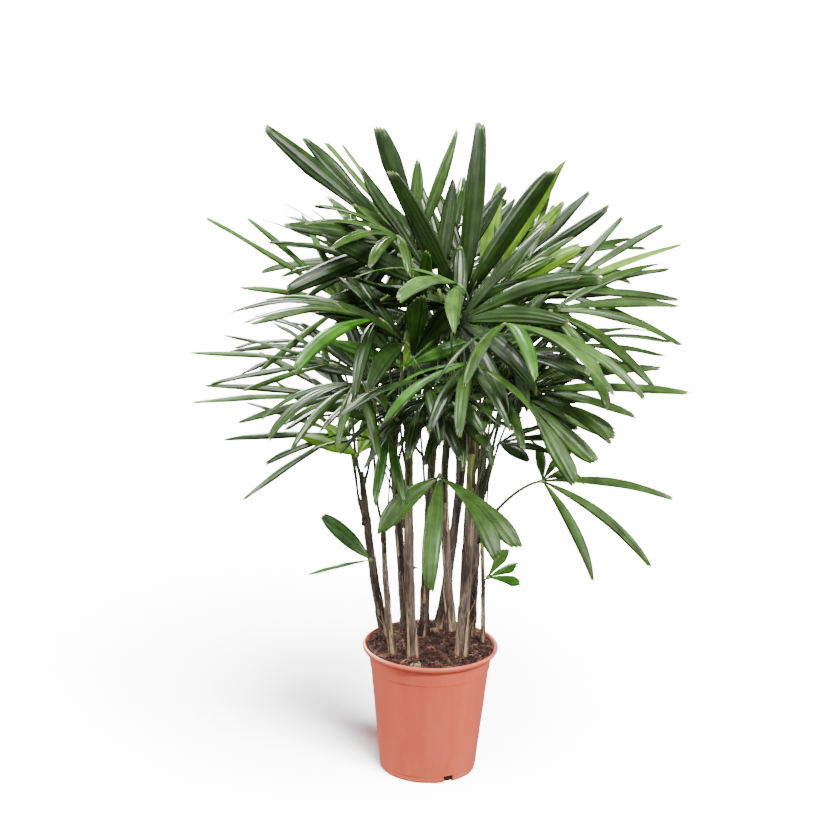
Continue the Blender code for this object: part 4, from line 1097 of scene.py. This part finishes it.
def make_litter():
    """Loose coir on the soil: curled fibres and crumbs of husk."""
    chance = random.Random(7)
    fibres = bmesh.new()
    for _ in range(COIR_FIBRES):
        radius = LITTER_REACH * math.sqrt(chance.random())
        angle = chance.uniform(0, math.tau)
        heading = chance.uniform(0, math.tau)
        length = chance.uniform(*FIBRE_LENGTH)
        curl = chance.uniform(-FIBRE_CURL, FIBRE_CURL)
        lift = chance.uniform(0.0, FIBRE_LIFT)
        thick = chance.uniform(*FIBRE_RADIUS)
        spot = Vector((radius * math.cos(angle), radius * math.sin(angle), 0))
        points = []
        for i in range(FIBRE_SPANS + 1):
            share = i / FIBRE_SPANS
            points.append(Vector((spot.x, spot.y, soil_height(spot.x, spot.y) + 0.0006
                                  + lift * math.sin(math.pi * share))))
            turn = heading + curl * share
            spot = spot + Vector((math.cos(turn), math.sin(turn), 0)) * length / FIBRE_SPANS
            if spot.length > FIBRE_REACH:
                spot *= FIBRE_REACH / spot.length
        if (points[-1] - points[0]).length < SHORTEST_FIBRE:
            continue
        add_rod(fibres, points, lambda angle, row: thick, 3)
    bmesh.ops.recalc_face_normals(fibres, faces=fibres.faces)
    fibre_look = streaked_material("Coir fibre", ((0.38, "#301B15"), (0.54, "#56372A"), (0.71, "#B68C66")), 0.8,
                                   0.018, 0.018)
    add_piece("coir_fibres", fibres, [fibre_look])
    crumbs = bmesh.new()
    for _ in range(COIR_CRUMBS):
        radius = LITTER_REACH * math.sqrt(chance.random())
        angle = chance.uniform(0, math.tau)
        x, y = radius * math.cos(angle), radius * math.sin(angle)
        size = chance.uniform(*CRUMB_SIZE)
        made = bmesh.ops.create_icosphere(crumbs, subdivisions=1, radius=1)["verts"]
        squash = Matrix.Diagonal((size * chance.uniform(0.7, 1.5), size * chance.uniform(0.6, 1.1),
                                  size * chance.uniform(0.3, 0.7), 1))
        turn = Matrix.Rotation(chance.uniform(0, math.tau), 4, Vector((chance.uniform(-1, 1),
                                                                       chance.uniform(-1, 1), 1)))
        for vert in made:
            vert.co *= chance.uniform(0.75, 1.2)
        place = Matrix.Translation((x, y, soil_height(x, y) + size * 0.15))
        bmesh.ops.transform(crumbs, matrix=place @ turn @ squash, verts=made)
    crumb_look = streaked_material("Coir husk crumb", ((0.3, "#1E0E09"), (0.55, "#462518"), (0.8, "#75462F")), 0.92,
                                   0.006, 0.006)
    add_piece("coir_crumbs", crumbs, [crumb_look], smooth=False)


def make_tuft():
    """A small pale tuft of moss at the foot of the front canes."""
    chance = random.Random(23)
    bm = bmesh.new()
    for _ in range(TUFT_STEMS):
        x = TUFT_PLACE[0] + chance.gauss(0, TUFT_SPREAD[0])
        y = TUFT_PLACE[1] + chance.gauss(0, TUFT_SPREAD[1])
        foot = Vector((x, y, soil_height(x, y) - 0.001))
        lean = Vector((chance.uniform(-0.6, 0.6), chance.uniform(-0.6, 0.6), 1)).normalized()
        height = chance.uniform(*TUFT_HEIGHT)
        points = [foot + lean * height * i / 3 + Vector((0, 0, -0.0008 * i * i / 9)) for i in range(4)]
        add_rod(bm, points, lambda angle, row: TUFT_STEM_RADIUS * (1 - 0.24 * row), 3)
    bmesh.ops.recalc_face_normals(bm, faces=bm.faces)
    look = streaked_material("Pale moss", ((0.3, "#A8A87C"), (0.7, "#E4DFC0")), 0.9, 0.003, 0.003)
    add_piece("moss_tuft", bm, [look])


def make_canes():
    """All canes, with the steps of their wrapped sheaths and upright ridges of fibre."""
    bm = bmesh.new()
    bm.verts.layers.float_vector.new("sheath")
    for number, cane in enumerate(CANES):
        look = CANE_LOOKS[number]
        rows = round((cane.tip[2] - SOIL_TOP) / CANE_ROW)
        foot = cane_point(cane, 0)
        points = [foot - Vector((0, 0, sink)) for sink in CANE_SINKS]
        points += [cane_point(cane, i / rows) for i in range(rows + 1)]
        shares = [0, 0] + [i / rows for i in range(rows + 1)]
        pitch = SHEATH_PITCH + SHEATH_PITCH_STEP * (number % 4)

        def wrap(angle, row, points=points, pitch=pitch, number=number):
            """How far up its own sheath a spot lies, from 0 at the sheath's foot to 1 at its frayed top."""
            wobble = noise.noise(Vector((math.cos(angle), math.sin(angle), points[row].z * 30 + number)))
            return (points[row].z / pitch + 0.35 * math.sin(angle + number) + 0.15 * wobble + number * 0.37) % 1

        def relief(angle, row, points=points, shares=shares, cane=cane, number=number, wrap=wrap):
            spot = Vector((math.cos(angle), math.sin(angle), points[row].z * 5 + number * 7))
            ridge = noise.noise(Vector((spot.x * 3, spot.y * 3, spot.z)))
            lump = noise.noise(Vector((spot.x, spot.y, points[row].z * 22 + number * 3)))
            swell = 0.14 * wrap(angle, row) ** 1.5
            smooth = 0.35 if points[row].z > look.young_from else 1.0
            return cane_radius(cane, shares[row]) * (0.94 + smooth * (swell + 0.10 * ridge) + 0.05 * lump)

        def mark(angle, row, points=points, look=look, wrap=wrap):
            youth = min(max((points[row].z - look.young_from) / GREENING, 0), 1) * look.youth
            return Vector((look.dark, wrap(angle, row) * (1 - youth), youth))

        add_rod(bm, points, relief, CANE_SIDES, "sheath", mark)
    bmesh.ops.recalc_face_normals(bm, faces=bm.faces)
    names = [f"cane_{i}" for i in range(1, len(CANES) + 1)]
    return add_piece("fibrous_canes", bm, [cane_material()], replaced=names)


def add_husk(bm, cane, angle, start, length, width, peel, chance):
    """One dry sheath on a cane: a curled, pointed strip that stands a little off it towards its tip."""
    grid = bmesh.ops.create_grid(bm, x_segments=4, y_segments=9, size=1)["verts"]
    sway = chance.uniform(-0.25, 0.25)
    for vert in grid:
        side, t = vert.co.x, (vert.co.y + 1) / 2
        z = start + length * t
        share = cane_share_at(cane, max(z, SOIL_TOP + SEAT_GAP))
        axis = cane_point(cane, share)
        radius = cane_radius(cane, share) * 1.10 + 0.0004 + peel * t ** 2.2
        taper = min(1, t * 5 + 0.45) * (1 - t ** 2.4) + 0.04
        turn = angle + sway * t + side * taper * width / 2 / max(radius, 0.004)
        z_here = z - 0.0025 * abs(side) * t
        vert.co = Vector((axis.x + math.cos(turn) * radius, axis.y + math.sin(turn) * radius, z_here))


def make_husks():
    """Dry tan sheaths at the feet of the canes and up them, and loose threads."""
    chance = random.Random(41)
    bm = bmesh.new()
    for number, angle, start, length, width, peel in FOOT_HUSKS:
        add_husk(bm, CANES[number], math.radians(angle), start, length, width, peel, chance)
    for number, cane in enumerate(CANES):
        for _ in range(HUSKS_PER_CANE):
            top = min(cane.tip[2], CANE_LOOKS[number].young_from) - 0.05
            start = chance.uniform(SOIL_TOP + 0.02, top)
            length = chance.uniform(*HUSK_LENGTH)
            add_husk(bm, cane, chance.uniform(0, math.tau), start, length, chance.uniform(*HUSK_WIDTH),
                     chance.uniform(*HUSK_PEEL), chance)
    bmesh.ops.solidify(bm, geom=bm.faces[:], thickness=HUSK_THICKNESS)
    for number, cane in enumerate(CANES):
        for _ in range(THREADS_PER_CANE):
            share = chance.uniform(0.02, 0.8)
            angle = chance.uniform(0, math.tau)
            out = Vector((math.cos(angle), math.sin(angle), 0))
            root = cane_point(cane, share) + out * cane_radius(cane, share)
            length = chance.uniform(*THREAD_LENGTH)
            points = [root + out * length * 0.35 * (i / 4) ** 1.6
                      + Vector((0, 0, 1)) * length * (i / 4) * chance.uniform(0.8, 1.0) for i in range(5)]
            add_rod(bm, points, lambda angle, row: THREAD_RADIUS, 3)
    bmesh.ops.recalc_face_normals(bm, faces=bm.faces)
    look = streaked_material("Dry leaf sheath", ((0.30, "#5A4232"), (0.50, "#9A7A5C"), (0.75, "#C8A882")), 0.75,
                             0.0012, 0.040)
    return add_piece("dry_sheaths", bm, [look])


def stalk_line(frond, seat, normal, bow):
    """The finished line of a stalk: it slips out of the cane upwards, then follows the rule's arch."""
    path = petiole_path(frond, seat, normal, bow, STALK_SPANS)
    join = STALK_SPANS // 3
    start = seat - normal * STALK_ROOT - Vector((0, 0, STALK_SLIP))
    lean = (path[join + 1] - path[join]).normalized()
    reach = (path[join] - start).length
    rising = start + Vector((0, 0, STALK_EASE * reach))
    arriving = path[join] - lean * STALK_EASE * reach
    return [bezier(start, rising, arriving, path[join], i / join) for i in range(join)] + path[join:]


def make_stalks(stalks):
    """Every leaf stalk, from inside its cane's skin up to its fan, with a clasping foot."""
    bm = bmesh.new()
    bm.verts.layers.float_vector.new("blade")
    for frond, (seat, normal, bow) in stalks:
        points = stalk_line(frond, seat, normal, bow)
        girth = USUAL_GIRTH if frond.length > SMALL_FAN else SMALL_GIRTH
        if frond is FRONDS[LONE_STALK - 1]:
            girth = LONE_GIRTH
        rows = len(points) - 1

        def radius_at(angle, row, rows=rows, girth=girth):
            share = row / rows
            clasp = 0.8 * math.exp(-share * 14)
            neck = 0.5 * max(share - 0.93, 0) / 0.07
            return PETIOLE_RADIUS * girth * (1.02 - 0.30 * share + clasp + neck)

        add_rod(bm, points, radius_at, STALK_SIDES, "blade", lambda angle, row, rows=rows: Vector((0, 0, row / rows)))
        middle, side, normal_up = fan_frame(frond)
        flat = Matrix((side, middle, normal_up)).transposed().to_4x4() @ Matrix.Diagonal((1, 1, 0.45, 1))
        knob = bmesh.ops.create_icosphere(bm, subdivisions=2, radius=HUB_RADIUS * 0.8,
                                          matrix=Matrix.Translation(frond.hub) @ flat)["verts"]
        for vert in knob:
            vert[bm.verts.layers.float_vector["blade"]] = Vector((0, 0, 0.92))
    bmesh.ops.recalc_face_normals(bm, faces=bm.faces)
    return add_piece("leaf_stalks", bm, [stalk_material()])


def add_blade(bm, layer, leaflet, trim, blunt, slot_index, chance):
    """One finished leaflet: pleated at its ribs, bent along its line, cut short and toothed at its tip."""
    width, length = leaflet.width * trim[0], leaflet.length * trim[1]
    ribs = 2 if width < TWO_RIBS_BELOW else 3 if width < THREE_RIBS_BELOW else 4
    columns = 2 * ribs
    made = bmesh.ops.create_grid(bm, x_segments=columns, y_segments=BLADE_ROWS, size=1)["verts"]
    for face in {f for v in made for f in v.link_faces}:
        face.material_index = slot_index
    for edge in {e for v in made for e in v.link_edges}:
        if abs(edge.verts[0].co.x - edge.verts[1].co.x) < 1e-5 and abs(edge.verts[0].co.x) < 0.99:
            edge.smooth = False
    short, long = TOOTH
    teeth = [chance.uniform(short, long) if k % 2 else chance.uniform(-long, -short) for k in range(columns + 1)]
    oblique = chance.uniform(-OBLIQUE, OBLIQUE) * width
    twist = chance.uniform(-TWIST, TWIST)
    keel = chance.uniform(*KEEL)
    pleat = chance.uniform(*PLEAT)
    waves = chance.uniform(*WAVES)
    phase = chance.uniform(0, math.tau)
    offset = chance.uniform(0, 5)
    for vert in made:
        side, t = vert.co.x, (vert.co.y + 1) / 2
        column = round((side + 1) / 2 * columns)
        end = (teeth[column] + oblique * side - abs(side) ** 3 * width * 0.14) / leaflet.length
        at = t * trim[1] + end * t ** 7
        spot = min(max(at, 0), 1) * LEAFLET_STEPS
        low = min(int(spot), LEAFLET_STEPS - 1)
        point = leaflet.line[low][0].lerp(leaflet.line[low + 1][0], spot - low)
        tangent = (leaflet.line[low + 1][0] - leaflet.line[low][0]).normalized()
        point += tangent * max(at - 1, 0) * leaflet.length
        across = leaflet.line[low][1].lerp(leaflet.line[low + 1][1], spot - low)
        across = Matrix.Rotation(twist * t ** 1.4, 3, tangent) @ across
        normal = tangent.cross(across).normalized()
        distance = LEAFLET_START + t * length
        share = width_share(t, FINE_ROOT, FINE_WIDEST, blunt, 1.4 + 2 * blunt)
        half = min(width / 2 * share, max(distance * leaflet.room, NARROWEST))
        zigzag = (1 if column % 2 else -1) * pleat * 2 * half / columns
        ripple = RIPPLE * math.sin(t * waves * math.tau + phase + side) * side * side
        vert[layer] = Vector((side * half, t * length + offset, t))
        vert.co = point + across * side * half + normal * (zigzag + keel * half * abs(side) ** 1.4 + ripple)


def make_leaves(fans):
    """The leaflets of each tint, joined, with a duller skin below."""
    for name, tint in LEAF_TINTS.items():
        bm = bmesh.new()
        layer = bm.verts.layers.float_vector.new("blade")
        for number, place in itertools.product(fans, range(MOST_LEAFLETS)):
            home = name if number in tint.fronds else None
            if place not in fans[number] or LEAFLET_TINTS.get((number, place), home) != name:
                continue
            chance = random.Random(100 * number + place)
            trim = LEAFLET_TRIMS.get((number, place), FAN_TRIMS.get(number, USUAL_TRIM))
            blunt = chance.uniform(*(BLUNT_TIPS if number in BLUNT_FANS else USUAL_TIPS))
            add_blade(bm, layer, fans[number][place], trim, blunt, 2 * chance.randint(0, 1), chance)
        skins = []
        for shade, base, vein in zip(("darker", "lighter"), tint.bases, tint.veins):
            skins.append(leaf_material(f"Palm leaf, {shade} {name}", base, vein, tint.roughness, tint.wax))
            skins.append(leaf_material(f"Palm leaf underside, {shade} {name}", tint.under, tint.under,
                                       LOWER_ROUGHNESS, LOWER_WAX))
        piece = add_piece(f"leaflets_{name}", bm, skins,
                          replaced=[f"frond_{number:02d}" for number in tint.fronds if number <= len(FRONDS)])
        shell = piece.modifiers.new("Blade thickness", "SOLIDIFY")
        shell.thickness = BLADE_THICKNESS
        shell.offset = 0
        shell.material_offset = 1


def make_stage():
    """Pale floor, soft studio lights and the camera."""
    bm = bmesh.new()
    bmesh.ops.create_grid(bm, x_segments=1, y_segments=1, size=FLOOR_SIZE)
    floor_look, _ = new_material("Matt white studio paper", Base_Color=linear(FLOOR_COLOUR), Roughness=1.0)
    floor = in_scene("studio_floor", mesh_of("studio_floor", bm))
    floor.data.materials.append(floor_look)

    # The floor is washed almost white by two lights of its own: all of the plant shades the high one, but only the
    # pot, its soil and the dark block of painted shade under it shade the low one
    floor.visible_diffuse = False
    floor.visible_glossy = False
    lit = bpy.data.collections.new("Washed")
    lit.objects.link(floor)
    unlit = bpy.data.collections.new("Not lit by the softboxes")
    unlit.objects.link(floor)
    unlit.collection_objects[0].light_linking.link_state = "EXCLUDE"
    shading = bpy.data.collections.new("Shades the low wash")
    for name, source, spread, strength, pot_only in FLOOR_WASHES:
        data = bpy.data.lights.new(name, "SUN")
        data.energy = strength
        data.angle = math.radians(spread)
        wash = in_scene(name, data)
        wash.matrix_world = Vector(source).to_track_quat("Z", "Y").to_matrix().to_4x4()
        wash.light_linking.receiver_collection = lit
        if pot_only:
            wash.light_linking.blocker_collection = shading

    world = bpy.data.worlds.new("Studio")
    world.use_nodes = True
    bpy.context.scene.world = world
    sky = world.node_tree.nodes["Background"]
    sky.inputs["Color"].default_value = (1, 1, 1, 1)
    seen = world.node_tree.nodes.new("ShaderNodeLightPath").outputs["Is Camera Ray"]
    glow = world.node_tree.nodes.new("ShaderNodeMapRange")
    glow.inputs["To Min"].default_value = SKY_STRENGTH
    glow.inputs["To Max"].default_value = BACKDROP_GLOW
    world.node_tree.links.new(seen, glow.inputs["Value"])
    world.node_tree.links.new(glow.outputs["Result"], sky.inputs["Strength"])

    for name, place, size, power in LIGHTS:
        data = bpy.data.lights.new(name, "AREA")
        data.shape = "RECTANGLE"
        data.size, data.size_y = size
        data.energy = power
        light = in_scene(name, data)
        aim = Vector(LIGHTS_AIM) - Vector(place)
        light.matrix_world = Matrix.Translation(place) @ aim.to_track_quat("-Z", "Y").to_matrix().to_4x4()
        light.light_linking.receiver_collection = unlit

    data = bpy.data.cameras.new("Camera")
    data.sensor_width = SENSOR_WIDTH
    data.lens = CAMERA_LENS
    data.clip_end = CAMERA_REACH
    camera = in_scene("Camera", data)
    camera.matrix_world = (Matrix.Translation(CAMERA_PLACE)
                           @ Matrix.Rotation(math.radians(CAMERA_YAW), 4, "Z")
                           @ Matrix.Rotation(math.radians(90 - CAMERA_PITCH), 4, "X")
                           @ Matrix.Rotation(math.radians(CAMERA_ROLL), 4, "Z"))
    bpy.context.scene.camera = camera
    return shading


def main():
    shading = make_stage()
    cane_trees = [tree_of(cane_tube(cane)) for cane in CANES]
    fixed_trees = cad_trees("pot", "soil") + cane_trees
    hub_trees = [hub_tree(frond) for frond in FRONDS]
    seats, stem_trees = lay_petioles(cane_trees, hub_trees)
    leaf_trees = []
    fans = {}
    for number, frond in enumerate(FRONDS, 1):
        other = [k for k in range(len(FRONDS)) if k != number - 1]
        blocked = fixed_trees + [stem_trees[k] for k in other] + [hub_trees[k] for k in other] + leaf_trees
        fans[number] = lay_fan(number, frond, blocked)
        leaf_trees += fan_trees(fans[number])
    stalks = list(zip(FRONDS, seats))
    for number, frond in enumerate(INNER_FRONDS, len(FRONDS) + 1):
        crowd = hub_trees + stem_trees + leaf_trees
        others = [tree for i, tree in enumerate(cane_trees) if i != frond.cane]
        stalk = clear_stalk(frond, cane_trees, others + crowd)
        fans[number] = lay_fan(number, frond, fixed_trees + crowd) if stalk else {}
        if fans[number]:
            stalks.append((frond, stalk[:3]))
            stem_trees.append(stalk[3])
            hub_trees.append(hub_tree(frond))
            leaf_trees += fan_trees(fans[number])

    for piece in (make_pot(), make_soil(), make_slot_shade_block()):
        shading.objects.link(piece)
    make_litter()
    make_tuft()
    make_canes()
    make_husks()
    make_stalks(stalks)
    make_leaves(fans)


main()
